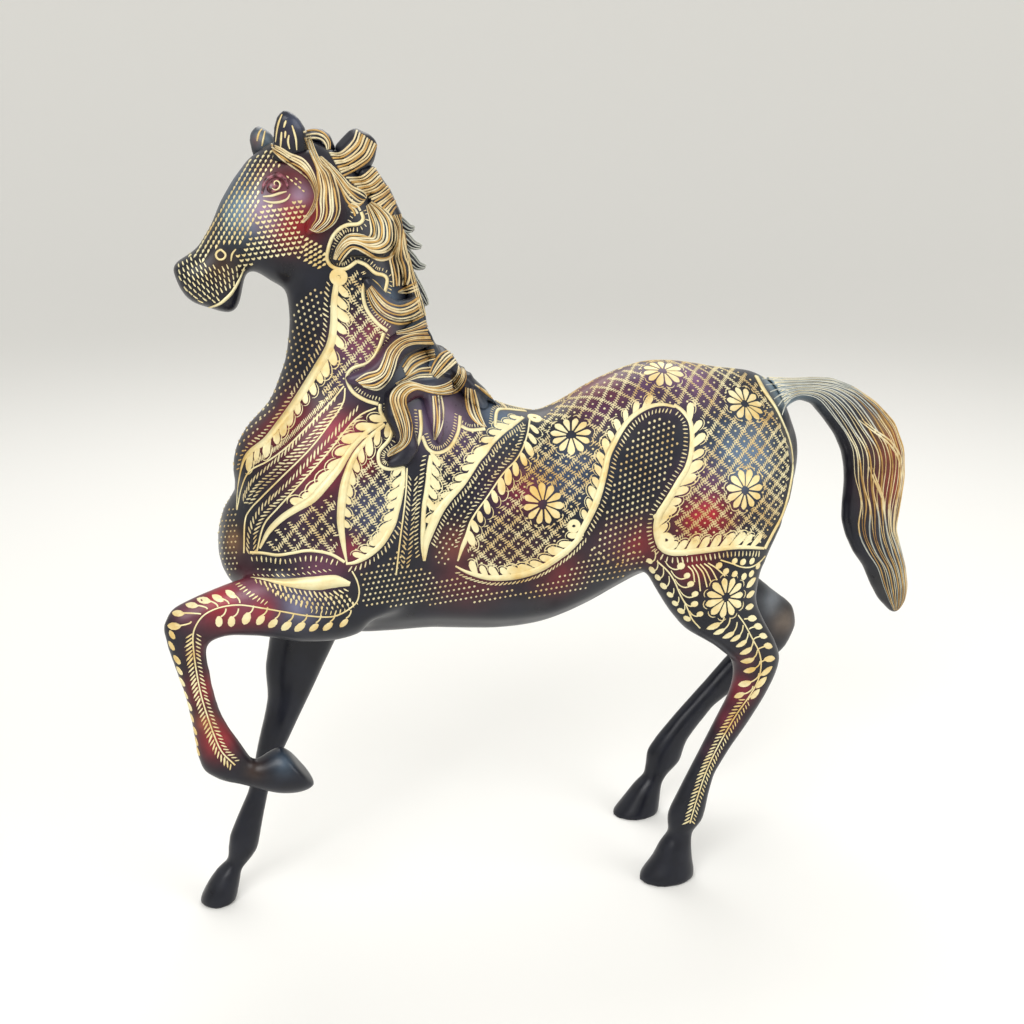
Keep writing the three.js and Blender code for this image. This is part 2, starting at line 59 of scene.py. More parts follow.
def addObject(name, data):
    obj = bpy.data.objects.new(name, data)
    bpy.context.collection.objects.link(obj)
    return obj


camera = {
    "at": (-280.7, -853, 565),
    "yaw": 15,
    "pitch": 17.5,
    "frame": 1024,  # px
    "focal": 1300,  # px
    "middle": 512,
    "sensor": 36,
    "farthest": 20,  # metres
}


def makeCamera():
    yaw, pitch = math.radians(camera["yaw"]), math.radians(camera["pitch"])
    forward = Vector((math.sin(yaw) * math.cos(pitch), math.cos(yaw) * math.cos(pitch), -math.sin(pitch)))
    data = bpy.data.cameras.new("camera")
    data.sensor_width = camera["sensor"]
    data.lens = camera["sensor"] * camera["focal"] / camera["frame"]
    data.clip_end = camera["farthest"]
    obj = addObject("camera", data)
    obj.location = spot(*camera["at"])
    obj.rotation_euler = forward.to_track_quat("-Z", "Y").to_euler()
    bpy.context.scene.camera = obj
    right = Vector((math.cos(yaw), -math.sin(yaw), 0))
    return {"at": obj.location.copy(), "forward": forward, "right": right, "up": right.cross(forward)}


eye = makeCamera()


def pixelRay(px, py):
    across, down = (px - camera["middle"]) / camera["focal"], (py - camera["middle"]) / camera["focal"]
    return (eye["forward"] + eye["right"] * across - eye["up"] * down).normalized()


def toPixel(point):
    away = point - eye["at"]
    scale = camera["focal"] / away.dot(eye["forward"])
    return camera["middle"] + away.dot(eye["right"]) * scale, camera["middle"] - away.dot(eye["up"]) * scale


def addNode(tree, kind, settings=None, inputs=None, links=None):  # one node, its settings, values and links
    node = tree.nodes.new(kind)
    for key, value in (settings or {}).items():
        setattr(node, key, value)
    for key, value in (inputs or {}).items():
        node.inputs[key].default_value = value
    for key, source in (links or {}).items():
        tree.links.new(source, node.inputs[key])
    return node


studio = {
    "paper": "#f1f0ec",
    "sky": "#f6f5f2",
    "skyStrength": 0.6,
    "lamps": [  # name, place, height aimed at, side in metres, watts
        ("key", (-0.9, -1.3, 1.5), 0.3, 1.1, 20),
        ("fill", (1.2, -1.0, 0.9), 0.3, 1.0, 9),
        ("rim", (0.2, 1.0, 1.6), 0.35, 1.2, 12),
    ],
    "floorHole": 0.02,  # metres, closed by one face
    "floorRadius": 2.6,  # metres from the middle to where the paper starts to rise
    "sweep": 1.5,
    "sweepSteps": 24,
    "around": 96,
    "paperRoughness": 0.9,
    "paperGlow": 0.1,  # light that thin paper lets through from behind
}


def makeStudio():
    world = bpy.data.worlds.new("paleStudio")
    bpy.context.scene.world = world
    world.use_nodes = True
    tree = world.node_tree
    tree.nodes.clear()
    path = addNode(tree, "ShaderNodeLightPath")
    direct = addNode(tree, "ShaderNodeMath", {"operation": "MAXIMUM"}, links={
        0: path.outputs["Is Camera Ray"], 1: path.outputs["Is Glossy Ray"]})
    seen = addNode(tree, "ShaderNodeMath", {"operation": "MAXIMUM"}, links={
        0: direct.outputs[0], 1: path.outputs["Is Transmission Ray"]})
    strength = addNode(tree, "ShaderNodeMapRange", inputs={"To Min": studio["skyStrength"], "To Max": 1.0},
                       links={"Value": seen.outputs[0]})
    sky = addNode(tree, "ShaderNodeBackground", inputs={"Color": linear(studio["sky"])},
                  links={"Strength": strength.outputs[0]})
    addNode(tree, "ShaderNodeOutputWorld", links={"Surface": sky.outputs[0]})

    # a round sweep of paper: flat under the figure, then rising all about it
    flat, rise, around = studio["floorRadius"], studio["sweep"], studio["around"]
    profile = [(studio["floorHole"], 0.0), (flat, 0.0)]
    for step in range(1, studio["sweepSteps"] + 1):
        turn = step / studio["sweepSteps"] * math.pi / 2
        profile.append((flat + rise * math.sin(turn), rise * (1 - math.cos(turn))))
    verts = [(r * math.cos(2 * math.pi * k / around), r * math.sin(2 * math.pi * k / around), z)
             for r, z in profile for k in range(around)]
    faces = [(row * around + k, row * around + (k + 1) % around, (row + 1) * around + (k + 1) % around,
              (row + 1) * around + k) for row in range(len(profile) - 1) for k in range(around)]
    paper = bpy.data.meshes.new("paper_sweep")
    paper.from_pydata(verts, [], [tuple(reversed(face)) for face in faces] + [tuple(range(around))])
    for polygon in paper.polygons:
        polygon.use_smooth = True
    pale = bpy.data.materials.new("matt_backdrop_paper")
    pale.use_nodes = True
    shader = pale.node_tree.nodes["Principled BSDF"]
    shader.inputs["Base Color"].default_value = linear(studio["paper"])
    shader.inputs["Roughness"].default_value = studio["paperRoughness"]
    shader.inputs["Emission Color"].default_value = linear(studio["paper"])
    shader.inputs["Emission Strength"].default_value = studio["paperGlow"]
    paper.materials.append(pale)
    addObject("paper_sweep", paper)

    for name, place, height, side, watts in studio["lamps"]:
        data = bpy.data.lights.new(name, "AREA")
        data.size = side
        data.energy = watts
        lamp = addObject(name, data)
        lamp.location = place
        lamp.rotation_euler = (Vector((0, 0, height)) - Vector(place)).to_track_quat("-Z", "Y").to_euler()


makeStudio()
print("studio ready")


# Finishes

def newMaterial(name):
    material = bpy.data.materials.new(name)
    material.use_nodes = True
    tree = material.node_tree
    place = addNode(tree, "ShaderNodeTexCoord").outputs["Object"]
    return material, tree, tree.nodes["Principled BSDF"], place


def plug(tree, shader, sources):
    for socket, source in sources.items():
        tree.links.new(source, shader.inputs[socket])


lacquerLook = {
    "cloud": 14,  # mm, soft mottling of the sprayed coat
    "peel": 2.2,  # mm, orange peel, drawn coarser than the real 0.8 so that it shows
    "peelDepth": 0.1,  # mm
    "gloss": 0.34,
}


def sprayedLacquer(name):  # airbrushed spirit lacquer, stoved on brass: deep colour, soft clouds, satin gloss
    material, tree, shader, place = newMaterial(name)
    # the airbrushed colours, with a painted sheen on the far hock
    colour = addNode(tree, "ShaderNodeAttribute", {"attribute_name": "airbrushAndSheen"})
    cloud = addNode(tree, "ShaderNodeTexNoise", inputs={
        "Scale": 1 / (lacquerLook["cloud"] * mm), "Detail": 4.0}, links={"Vector": place})
    shade = addNode(tree, "ShaderNodeMapRange", inputs={
        "From Min": 0.3, "From Max": 0.7, "To Min": 0.72, "To Max": 1.28}, links={
        "Value": cloud.outputs["Fac"]})
    mixed = addNode(tree, "ShaderNodeVectorMath", {"operation": "SCALE"}, links={
        0: colour.outputs["Color"], "Scale": shade.outputs[0]})
    rough = addNode(tree, "ShaderNodeMapRange", inputs={"To Min": 0.2, "To Max": 0.44}, links={
        "Value": cloud.outputs["Fac"]})
    peel = addNode(tree, "ShaderNodeTexNoise", inputs={
        "Scale": 1 / (lacquerLook["peel"] * mm), "Detail": 2.0}, links={"Vector": place})
    bump = addNode(tree, "ShaderNodeBump", inputs={
        "Strength": 0.1, "Distance": lacquerLook["peelDepth"] * mm}, links={"Height": peel.outputs["Fac"]})
    plug(tree, shader, {
        "Base Color": mixed.outputs[0], "Roughness": rough.outputs[0], "Normal": bump.outputs[0]})
    shader.inputs["Specular IOR Level"].default_value = lacquerLook["gloss"]
    return material


brassLook = {
    "pale": "#ece2b4",
    "deep": "#d8b465",
    "drift": 34,  # mm, slow change from pale to yellow across the figure
    "wear": 6,  # mm, patches where the cut metal has toned
    "burnish": 0.7,  # mm, fine strokes of the graver
    "burnishDepth": 0.08,  # mm
    "metallic": 0.3,  # the toned film on the cut hides most of the mirror
}


def brightCutBrass(name, pale, deep):  # brass bared by the graver: pale satin metal that yellows in patches
    material, tree, shader, place = newMaterial(name)
    drift = addNode(tree, "ShaderNodeTexNoise", inputs={
        "Scale": 1 / (brassLook["drift"] * mm), "Detail": 1.0}, links={"Vector": place})
    wear = addNode(tree, "ShaderNodeTexNoise", inputs={
        "Scale": 1 / (brassLook["wear"] * mm), "Detail": 5.0}, links={"Vector": place})
    blend = addNode(tree, "ShaderNodeMath", {"operation": "MULTIPLY_ADD"}, {1: 0.45}, {
        0: wear.outputs["Fac"], 2: drift.outputs["Fac"]})
    share = addNode(tree, "ShaderNodeMapRange", inputs={"From Min": 0.64, "From Max": 1.0}, links={
        "Value": blend.outputs[0]})
    colour = addNode(tree, "ShaderNodeMix", {"data_type": "RGBA"}, links={"Factor": share.outputs[0]})
    colour.inputs["A"].default_value = linear(pale)
    colour.inputs["B"].default_value = linear(deep)
    strokes = addNode(tree, "ShaderNodeTexNoise", inputs={
        "Scale": 1 / (brassLook["burnish"] * mm), "Detail": 2.0}, links={"Vector": place})
    rough = addNode(tree, "ShaderNodeMapRange", inputs={"To Min": 0.38, "To Max": 0.58}, links={
        "Value": strokes.outputs["Fac"]})
    bump = addNode(tree, "ShaderNodeBump", inputs={
        "Strength": 0.15, "Distance": brassLook["burnishDepth"] * mm}, links={
        "Height": strokes.outputs["Fac"]})
    plug(tree, shader, {
        "Base Color": colour.outputs["Result"], "Roughness": rough.outputs[0], "Normal": bump.outputs[0]})
    shader.inputs["Metallic"].default_value = brassLook["metallic"]
    return material


eyeLook = {"deep": "#3a0f14", "flush": "#9a5a66", "mottle": 3.2}  # mm


def eyeEnamel():  # a drop of fired enamel: deep red with a pink cloud, wet gloss
    material, tree, shader, place = newMaterial("fired_eye_enamel")
    cloud = addNode(tree, "ShaderNodeTexNoise", inputs={
        "Scale": 1 / (eyeLook["mottle"] * mm), "Detail": 2.0}, links={"Vector": place})
    share = addNode(tree, "ShaderNodeMapRange", inputs={"From Min": 0.42, "From Max": 0.66}, links={
        "Value": cloud.outputs["Fac"]})
    colour = addNode(tree, "ShaderNodeMix", {"data_type": "RGBA"}, links={"Factor": share.outputs[0]})
    colour.inputs["A"].default_value = linear(eyeLook["deep"])
    colour.inputs["B"].default_value = linear(eyeLook["flush"])
    rough = addNode(tree, "ShaderNodeMapRange", inputs={"To Min": 0.1, "To Max": 0.24}, links={
        "Value": cloud.outputs["Fac"]})
    plug(tree, shader, {"Base Color": colour.outputs["Result"], "Roughness": rough.outputs[0]})
    return material


lacquer = sprayedLacquer("stoved_airbrushed_lacquer")
cutBrass = brightCutBrass("graver_cut_brass", brassLook["pale"], brassLook["deep"])
tonedBrass = brightCutBrass("toned_punched_brass", "#e0d5ab", "#c29d5a")
turnedBrass = brightCutBrass("turned_brass", "#cfae62", "#9a7434")
giltStrand = brightCutBrass("gilt_cast_strands", "#e4dab6", "#c4a05c")
shadeStrand = brightCutBrass("worn_gilt_strands", "#cfa862", "#855f30")
silverStrand = brightCutBrass("silvery_cast_strands", "#ccccc0", "#959a94")
eyeFinish = eyeEnamel()


# The body: castings fused where they are brazed, filed flush and lacquered

skinSettings = {
    "voxel": 1.65,
    "swell": 0.25,  # closes the brazed seams before the castings are fused
    "passes": 26,
    "returnPasses": 46,  # spreads back what smoothing took off, so that nothing gets thinner
    "roundPasses": 60,  # more of both on the trunk, the neck and the haunches
    "roundReturn": 110,
    "castings": [
        "trunk_left_shell", "trunk_right_shell", "neck_left_shell", "neck_right_shell",
        "head_left_shell", "head_right_shell", "near_forearm", "near_fore_cannon_and_hoof",
        "off_forearm", "off_fore_cannon_and_hoof", "near_gaskin", "near_hind_cannon_and_hoof",
        "off_gaskin", "off_hind_cannon_and_hoof", "tail_stud",
    ],
}


def fuse(names, swell, voxel):
    whole = bmesh.new()
    for name in names:
        part = bmesh.new()
        part.from_mesh(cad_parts[name].data)
        bmesh.ops.remove_doubles(part, verts=part.verts, dist=1e-6)
        part.normal_update()
        moves = [vert.normal * swell * mm for vert in part.verts]
        for vert, move in zip(part.verts, moves):
            vert.co += move
        mesh = bpy.data.meshes.new("casting")
        part.to_mesh(mesh)
        part.free()
        whole.from_mesh(mesh)
        bpy.data.meshes.remove(mesh)
    mesh = bpy.data.meshes.new("fused")
    whole.to_mesh(mesh)
    whole.free()
    obj = addObject("fused", mesh)
    remesh = obj.modifiers.new("remesh", "REMESH")
    remesh.mode = "VOXEL"
    remesh.voxel_size = voxel * mm
    remesh.adaptivity = 0
    fused = bpy.data.meshes.new_from_object(obj.evaluated_get(bpy.context.evaluated_depsgraph_get()))
    bpy.data.objects.remove(obj)
    bpy.data.meshes.remove(mesh)
    return fused


def meshArrays(mesh):
    points = np.empty(len(mesh.vertices) * 3)
    mesh.vertices.foreach_get("co", points)
    edges = np.empty(len(mesh.edges) * 2, dtype=np.int64)
    mesh.edges.foreach_get("vertices", edges)
    return points.reshape(-1, 3), edges.reshape(-1, 2)


def setPoints(mesh, points):
    mesh.vertices.foreach_set("co", points.ravel())
    mesh.update()


def outerSkin(mesh):  # drops the wall of the hollow core, keeping the outside
    points, edges = meshArrays(mesh)
    label = np.arange(len(points))
    while True:
        low = np.minimum(label[edges[:, 0]], label[edges[:, 1]])
        before = label.copy()
        np.minimum.at(label, edges[:, 0], low)
        np.minimum.at(label, edges[:, 1], low)
        label = label[label]
        if (label == before).all():
            break
    keep = label == np.bincount(label).argmax()
    work = bmesh.new()
    work.from_mesh(mesh)
    work.verts.ensure_lookup_table()
    bmesh.ops.delete(work, geom=[work.verts[i] for i in np.flatnonzero(~keep)], context="VERTS")
    work.to_mesh(mesh)
    work.free()


def relaxed(values, edges, degree, share):
    first, second = edges.T
    count = len(values)
    total = np.empty_like(values)
    for axis in range(values.shape[1]):
        total[:, axis] = (np.bincount(first, values[second, axis], count)
                          + np.bincount(second, values[first, axis], count))
    return values + (total / degree[:, None] - values) * share


def smoothCasting(mesh, passes, returnPasses, share=0.5):  # files facets off, puts lost thickness back
    start, edges = meshArrays(mesh)
    degree = np.maximum(np.bincount(edges.ravel(), minlength=len(start)), 1)
    points = start
    for _ in range(passes):
        points = relaxed(points, edges, degree, share)
    lost = start - points
    for _ in range(returnPasses):
        lost = relaxed(lost, edges, degree, share)
    points = points + lost
    points[:, 2] = np.maximum(points[:, 2], 0)
    mesh.polygons.foreach_set("use_smooth", [True] * len(mesh.polygons))
    setPoints(mesh, points)


def treeOf(*meshes):  # one search tree over the castings
    verts, faces = [], []
    for mesh in meshes:
        start = len(verts)
        verts += [v.co.copy() for v in mesh.vertices]
        faces += [[start + i for i in p.vertices] for p in mesh.polygons]
    return BVHTree.FromPolygons(verts, faces)


skinMesh = fuse(skinSettings["castings"], skinSettings["swell"], skinSettings["voxel"])
outerSkin(skinMesh)
smoothCasting(skinMesh, skinSettings["passes"], skinSettings["returnPasses"])


def drawnPoints(mesh):  # its points in metres, and their x, y and z in mm as the figure was drawn
    points, _ = meshArrays(mesh)
    return points, points[:, 0] / mm - drawnShift.x, points[:, 1] / mm, points[:, 2] / mm


def roundShare(mesh):  # how much more each point is filed: all over the body, little on the head and the legs
    _, x, _, z = drawnPoints(mesh)
    body = np.clip((z - 70) / 120, 0, 1)
    head = np.clip((z - 420) / 40, 0, 1) * np.clip((-180 - x) / 30, 0, 1)
    raised = np.clip((-225 - x) / 20, 0, 1) * np.clip((300 - z) / 20, 0, 1)
    return (0.5 * body * (1 - 0.85 * head) * (1 - 0.7 * raised))[:, None]


def ease(values):
    held = np.clip(values, 0, 1)
    return held * held * (3 - 2 * held)


outlineFit = {  # what the picture's outline asks of the castings, in mm
    "haunchHeights": (190, 211, 225, 250, 260, 270, 280, 294, 309, 334, 350),
    "haunchTrim": (0, 2.6, 4.8, 6, 9, 11.6, 12, 7.6, 5.6, 2.8, 0),
    "croupLift": 8.4,
    "breastHeights": (240, 256, 262, 268, 275, 285, 293, 302, 310, 316, 324, 332, 340, 347, 354, 362, 375),
    "breastTrim": (0, -2, -2.6, -3.7, -4.3, -3.3, -1.7, 0.2, 3, 4.4, 2.7, 0, -2, -2.8, -2.6, -2.4, 0),
    "crestHeights": (395, 418, 436, 458, 472, 487, 496),
    "crestTrim": (0, 1.8, 4.4, 6.1, 7.4, 5, 0),
    "crestBack": (-101, -105.5, -108.5, -111.5, -114, -119, -125),
    "muzzle": [(-268.5, 466, 8, -3.4, 1), (-238.5, 446.5, 11, 0.5, -6.8)],  # x and z, reach, move in x and z
}


def fitOutline(mesh):  # takes the haunches in, fills the croup up to the tail and shapes the breast
    points, x, y, z = drawnPoints(mesh)
    trim = np.interp(z, outlineFit["haunchHeights"], outlineFit["haunchTrim"]) * ease((x - 60) / 50)
    trim *= ease((np.abs(y) - 2) / 24)
    trim *= np.where(y > 0, ease((z - 225) / 45), 1)  # the far leg is further back
    lift = ease((x - 98) / 48) * ease((170 - x) / 18) * ease((z - 315) / 40)
    lift *= ease(1 - np.abs(y) / np.interp(x, (100, 150), (60, 24)))
    breast = np.interp(z, outlineFit["breastHeights"], outlineFit["breastTrim"])
    breast *= ease((-195 - x) / 40) * ease((46 - np.abs(y)) / 18)
    points[:, 0] += (breast - trim) * mm
    points[:, 2] += outlineFit["croupLift"] * lift * mm
    for cx, cz, reach, dx, dz in outlineFit["muzzle"]:  # and draws the nose and the chin out
        share = np.exp(-((x - cx) ** 2 + (z - cz) ** 2) / reach ** 2) * mm
        points[:, 0] += dx * share
        points[:, 2] += dz * share
    setPoints(mesh, points)


def fitCrest(mesh):  # takes the neck and its mane in along the crest
    points, x, _, z = drawnPoints(mesh)
    back = np.interp(z, outlineFit["crestHeights"], outlineFit["crestBack"])
    trim = np.interp(z, outlineFit["crestHeights"], outlineFit["crestTrim"])
    points[:, 0] -= trim * ease((x - back + 34) / 30) * mm
    setPoints(mesh, points)


smoothCasting(skinMesh, skinSettings["roundPasses"], skinSettings["roundReturn"], roundShare(skinMesh))
fitOutline(skinMesh)
fitCrest(skinMesh)
skin = addObject("skin", skinMesh)
skinTree = treeOf(skinMesh)
print("skin fused:", len(skinMesh.polygons), "faces")


def castPixel(px, py, target=None):
    place, normal, _, _ = (target or skinTree).ray_cast(eye["at"], pixelRay(px, py))
    return place, normal


def castSide(x, z, sign, reach=300):  # onto the near side for sign -1 and the far side for +1
    place, normal, _, _ = skinTree.ray_cast(spot(x, reach * sign, z), Vector((0, -sign, 0)))
    return place, normal


def acrossMiddle(place, side=-1, target=None):  # the nearest point of the skin, on the other side for side -1
    there, normal, _, _ = (target or skinTree).find_nearest(Vector((place.x, place.y * side, place.z)))
    return there, normal


# Airbrushed colours and a painted sheen on the far hock, as soft spots by pixel: (px, py, radius in mm,
# colour, strength)

airbrushAndSheen = {
    "base": "#13151f",
    "edge": 1.1,  # how fast a spot fades
    "spots": [
        (300, 205, 16, "#861c22", 0.95), (292, 226, 13, "#8c1c20", 0.9), (272, 186, 12, "#5c171c", 0.95),
        (296, 178, 9, "#5c171c", 0.8), (243, 208, 15, "#7590a4", 0.9), (264, 212, 10, "#a0829a", 0.85),
        (300, 195, 7, "#a08ca4", 0.7), (240, 178, 10, "#44546a", 0.6), (222, 268, 10, "#4a3526", 0.6),
        (290, 420, 17, "#741c26", 0.85), (262, 440, 13, "#6b1a22", 0.75),
        (318, 470, 22, "#7c2030", 0.8), (340, 435, 15, "#9c3648", 0.85), (300, 520, 22, "#3a2436", 0.6),
        (360, 345, 16, "#7a4258", 0.85), (350, 375, 14, "#54405c", 0.6), (378, 325, 8, "#7d2a2e", 0.8),
        (425, 425, 16, "#5a4a66", 0.6), (450, 420, 16, "#7a6078", 0.8), (372, 510, 18, "#4c5068", 0.75),
        (350, 550, 10, "#7c2434", 0.7), (365, 465, 8, "#6c1a1e", 0.8), (415, 375, 14, "#42566a", 0.45),
        (385, 305, 10, "#5f7890", 0.6), (465, 450, 16, "#4f3d58", 0.6), (500, 500, 18, "#3a2440", 0.5),
        (560, 395, 26, "#6e2430", 0.8), (600, 385, 24, "#6e222c", 0.75), (570, 470, 20, "#46546e", 0.7),
        (520, 490, 14, "#7a1e30", 0.75), (520, 550, 20, "#3c1a20", 0.55), (600, 410, 12, "#5a3054", 0.7),
        (690, 378, 22, "#7c5878", 0.8), (640, 385, 18, "#5a3c5c", 0.7), (745, 455, 24, "#58708a", 0.9),
        (705, 515, 18, "#9c2026", 0.95), (700, 480, 16, "#6a4a68", 0.6), (770, 500, 16, "#2c2a36", 0.6),
        (640, 545, 16, "#701a22", 0.85), (610, 540, 14, "#4c2430", 0.6), (470, 582, 22, "#5a2028", 0.75),
        (455, 545, 12, "#7a3e34", 0.7), (560, 575, 18, "#641a22", 0.7), (695, 566, 14, "#701c24", 0.85),
        (500, 418, 14, "#6f8298", 0.6), (232, 405, 14, "#5a646e", 0.5), (232, 540, 9, "#7a5a3e", 0.7),
        (770, 384, 9, "#7c909c", 0.8), (780, 400, 9, "#6a7c88", 0.7),
    ],
    "nearOnly": [
        (225, 597, 18, "#a02a36", 0.95), (250, 596, 12, "#8a5c70", 0.8), (188, 612, 10, "#7c4858", 0.7),
        (205, 690, 13, "#7a1e26", 0.85), (218, 740, 13, "#8a2228", 0.95), (200, 650, 9, "#5a2028", 0.7),
        (206, 722, 7, "#a4563e", 0.7), (300, 606, 14, "#6f6e86", 0.8), (262, 612, 10, "#8c2430", 0.8),
        (738, 690, 12, "#7a2030", 0.9), (725, 720, 10, "#6c2434", 0.7), (745, 660, 8, "#5c2430", 0.6),
        # the spots at (774, 598) and (785, 621) are a painted sheen on the far hock, grey-blue above and
        # brown below
        (710, 750, 9, "#4a2434", 0.5), (320, 570, 14, "#6a3a52", 0.75), (774, 598, 13, "#71767c", 0.95),
        (785, 621, 12, "#675b51", 0.95), (255, 770, 8, "#3a2a20", 0.7), (284, 762, 8, "#4c5c6c", 0.7),
    ],
}


def paintCasting(mesh, spots):
    points, _ = meshArrays(mesh)
    colours = np.tile(np.array(linear(airbrushAndSheen["base"])), (len(points), 1))
    for centre, radius, colour, strength in spots:
        away = np.linalg.norm(points - centre, axis=1) / (radius * mm)
        share = strength * np.exp(-away ** 2 * airbrushAndSheen["edge"])
        colours[:, :3] += (np.array(linear(colour))[:3] - colours[:, :3]) * share[:, None]
    layer = mesh.color_attributes.new("airbrushAndSheen", "FLOAT_COLOR", "POINT")
    layer.data.foreach_set("color", colours.ravel())
    mesh.materials.append(lacquer)


def castSpots(rows, sides, target=None):  # each spot where the picture has it, on the sides asked for
    found = []
    for px, py, radius, colour, strength in rows:
        place, _ = castPixel(px, py, target)
        if place is not None:
            found += [(np.array((place.x, place.y * side, place.z)), radius, colour, strength)
                      for side in sides]
    return found


skinSpots = castSpots(airbrushAndSheen["spots"], (1, -1)) + castSpots(airbrushAndSheen["nearOnly"], (1,))
paintCasting(skinMesh, skinSpots)
print("lacquer sprayed")


# Engraving: paths and points on the skin, dressed by node trees

def smoothPixels(points, step=2.0, parts=12):  # a smooth curve through the points, walked in even steps
    p = np.array(points, dtype=float)
    p = np.vstack([2 * p[0] - p[1], p, 2 * p[-1] - p[-2]])
    curve = []
    for i in range(1, len(p) - 2):
        for t in np.linspace(0, 1, parts, endpoint=False):
            a, b, c, d = p[i - 1:i + 3]
            curve.append(0.5 * (2 * b + (c - a) * t + (2 * a - 5 * b + 4 * c - d) * t ** 2
                                + (3 * b - a - 3 * c + d) * t ** 3))
    curve = np.vstack([curve, p[-2]])
    length = np.concatenate([[0], np.cumsum(np.linalg.norm(np.diff(curve, axis=0), axis=1))])
    marks = np.linspace(0, length[-1], max(2, int(length[-1] / step) + 1))
    return np.column_stack([np.interp(marks, length, curve[:, k]) for k in range(curve.shape[1])])


def pathFrom(casts, side=1, breadths=None, gap=9):  # runs of hits, broken where two are over a gap apart
    runs, run = [], []
    for i, (place, normal) in enumerate(casts):
        if place is None or (run and (place - run[-1][0]).length > gap * mm):
            runs.append(run)
            run = []
        if place is not None:
            run.append((place, normal, 1.0 if breadths is None else breadths[i]))
    runs.append(run)
    return [{"run": run, "side": side} for run in runs if len(run) > 1]


def mirrored(path, target=None):  # the same path on the other side of the figure
    run = [(*acrossMiddle(place, target=target), breadth) for place, _, breadth in path["run"]]
    return {"run": run, "side": -path["side"]}


def pixelPaths(points, both=True, side=1, share=(0, 1), breadth=None, target=None):
    walk = smoothPixels(points)
    first, last = int(share[0] * (len(walk) - 1)), int(share[1] * (len(walk) - 1))
    walk = walk[first:last + 1]
    breadths = None
    if breadth:
        breadths = np.interp(np.linspace(0, 1, len(walk)), np.linspace(0, 1, len(breadth)), breadth)
    paths = pathFrom([castPixel(px, py, target) for px, py in walk], side, breadths)
    return paths + [mirrored(path) for path in paths] if both else paths


def allPaths(groups, **settings):  # the paths of several lines
    return [path for points in groups for path in pixelPaths(points, **settings)]


def sidePaths(points, sign, side=1):
    return pathFrom([castSide(x, z, sign) for x, z in smoothPixels(points, 1.5)], side)


def insideOutline(px, py, outline):
    inside = False
    for (ax, ay), (bx, by) in zip(outline, outline[1:] + outline[:1]):
        if (ay > py) != (by > py) and px < (bx - ax) * (py - ay) / (by - ay) + ax:
            inside = not inside
    return inside


carried = {  # what paths, marks and motifs carry for the node trees, and the field that holds it
    "skinNormal": "vector", "along": "vector", "side": "value", "breadth": "value", "size": "value",
    "rise": "value",
}
carriedKinds = {"vector": "FLOAT_VECTOR", "value": "FLOAT"}


def carry(mesh, columns):
    for name, values in columns.items():
        layer = mesh.attributes.new(name, carriedKinds[carried[name]], "POINT")
        layer.data.foreach_set(carried[name], np.ravel(np.array(values, dtype=float)))


def pathMesh(paths):  # edges along every path
    verts, edges = [], []
    columns = {"skinNormal": [], "along": [], "side": [], "breadth": []}
    for path in paths:
        start = len(verts)
        places = [place for place, _, _ in path["run"]]
        for i, (place, normal, wide) in enumerate(path["run"]):
            ahead = places[min(i + 1, len(places) - 1)] - places[max(i - 1, 0)]
            verts.append(place)
            for name, value in zip(columns, (normal, ahead.normalized(), path["side"], wide)):
                columns[name].append(value)
        edges += [(i, i + 1) for i in range(start, len(verts) - 1)]
    mesh = bpy.data.meshes.new("paths")
    mesh.from_pydata(verts, edges, [])
    carry(mesh, columns)
    return mesh


def pointMesh(marks):  # marks: place, normal, heading, size
    places, normals, headings, sizes = zip(*marks)
    mesh = bpy.data.meshes.new("marks")
    mesh.from_pydata(list(places), [], [])
    carry(mesh, {"skinNormal": normals, "along": headings, "size": sizes})
    return mesh


def newTree(name, sockets, reads):  # a tree with its inputs and the attributes that it reads
    tree = bpy.data.node_groups.new(name, "GeometryNodeTree")
    tree.interface.new_socket("Geometry", in_out="OUTPUT", socket_type="NodeSocketGeometry")
    for label, kind in sockets.items():
        tree.interface.new_socket(label, in_out="INPUT", socket_type="NodeSocket" + kind)
    held = {}
    for key in reads:
        node = addNode(tree, "GeometryNodeInputNamedAttribute", {"data_type": carriedKinds[carried[key]]}, {
            "Name": key})
        held[key] = node.outputs["Attribute"]
    return tree, addNode(tree, "NodeGroupInput").outputs, held


def evenCurve(tree, start, spacing):  # the paths as curves, with points at an even spacing
    curve = addNode(tree, "GeometryNodeMeshToCurve", links={"Mesh": start["Geometry"]})
    return addNode(tree, "GeometryNodeResampleCurve", {"mode": "LENGTH"}, links={
        "Curve": curve.outputs[0], "Length": start[spacing]}).outputs[0]


def outwardOf(tree, held):  # across the path, to the side that the path names
    across = addNode(tree, "ShaderNodeVectorMath", {"operation": "CROSS_PRODUCT"}, links={
        0: held["skinNormal"], 1: held["along"]})
    return addNode(tree, "ShaderNodeVectorMath", {"operation": "SCALE"}, links={
        0: across.outputs[0], "Scale": held["side"]}).outputs[0]


def endTree(tree, start, shapes):
    solid = addNode(tree, "GeometryNodeRealizeInstances", links={"Geometry": shapes})
    finish = addNode(tree, "GeometryNodeSetMaterial", links={
        "Geometry": solid.outputs[0], "Material": start["Material"]})
    addNode(tree, "NodeGroupOutput", links={"Geometry": finish.outputs[0]})


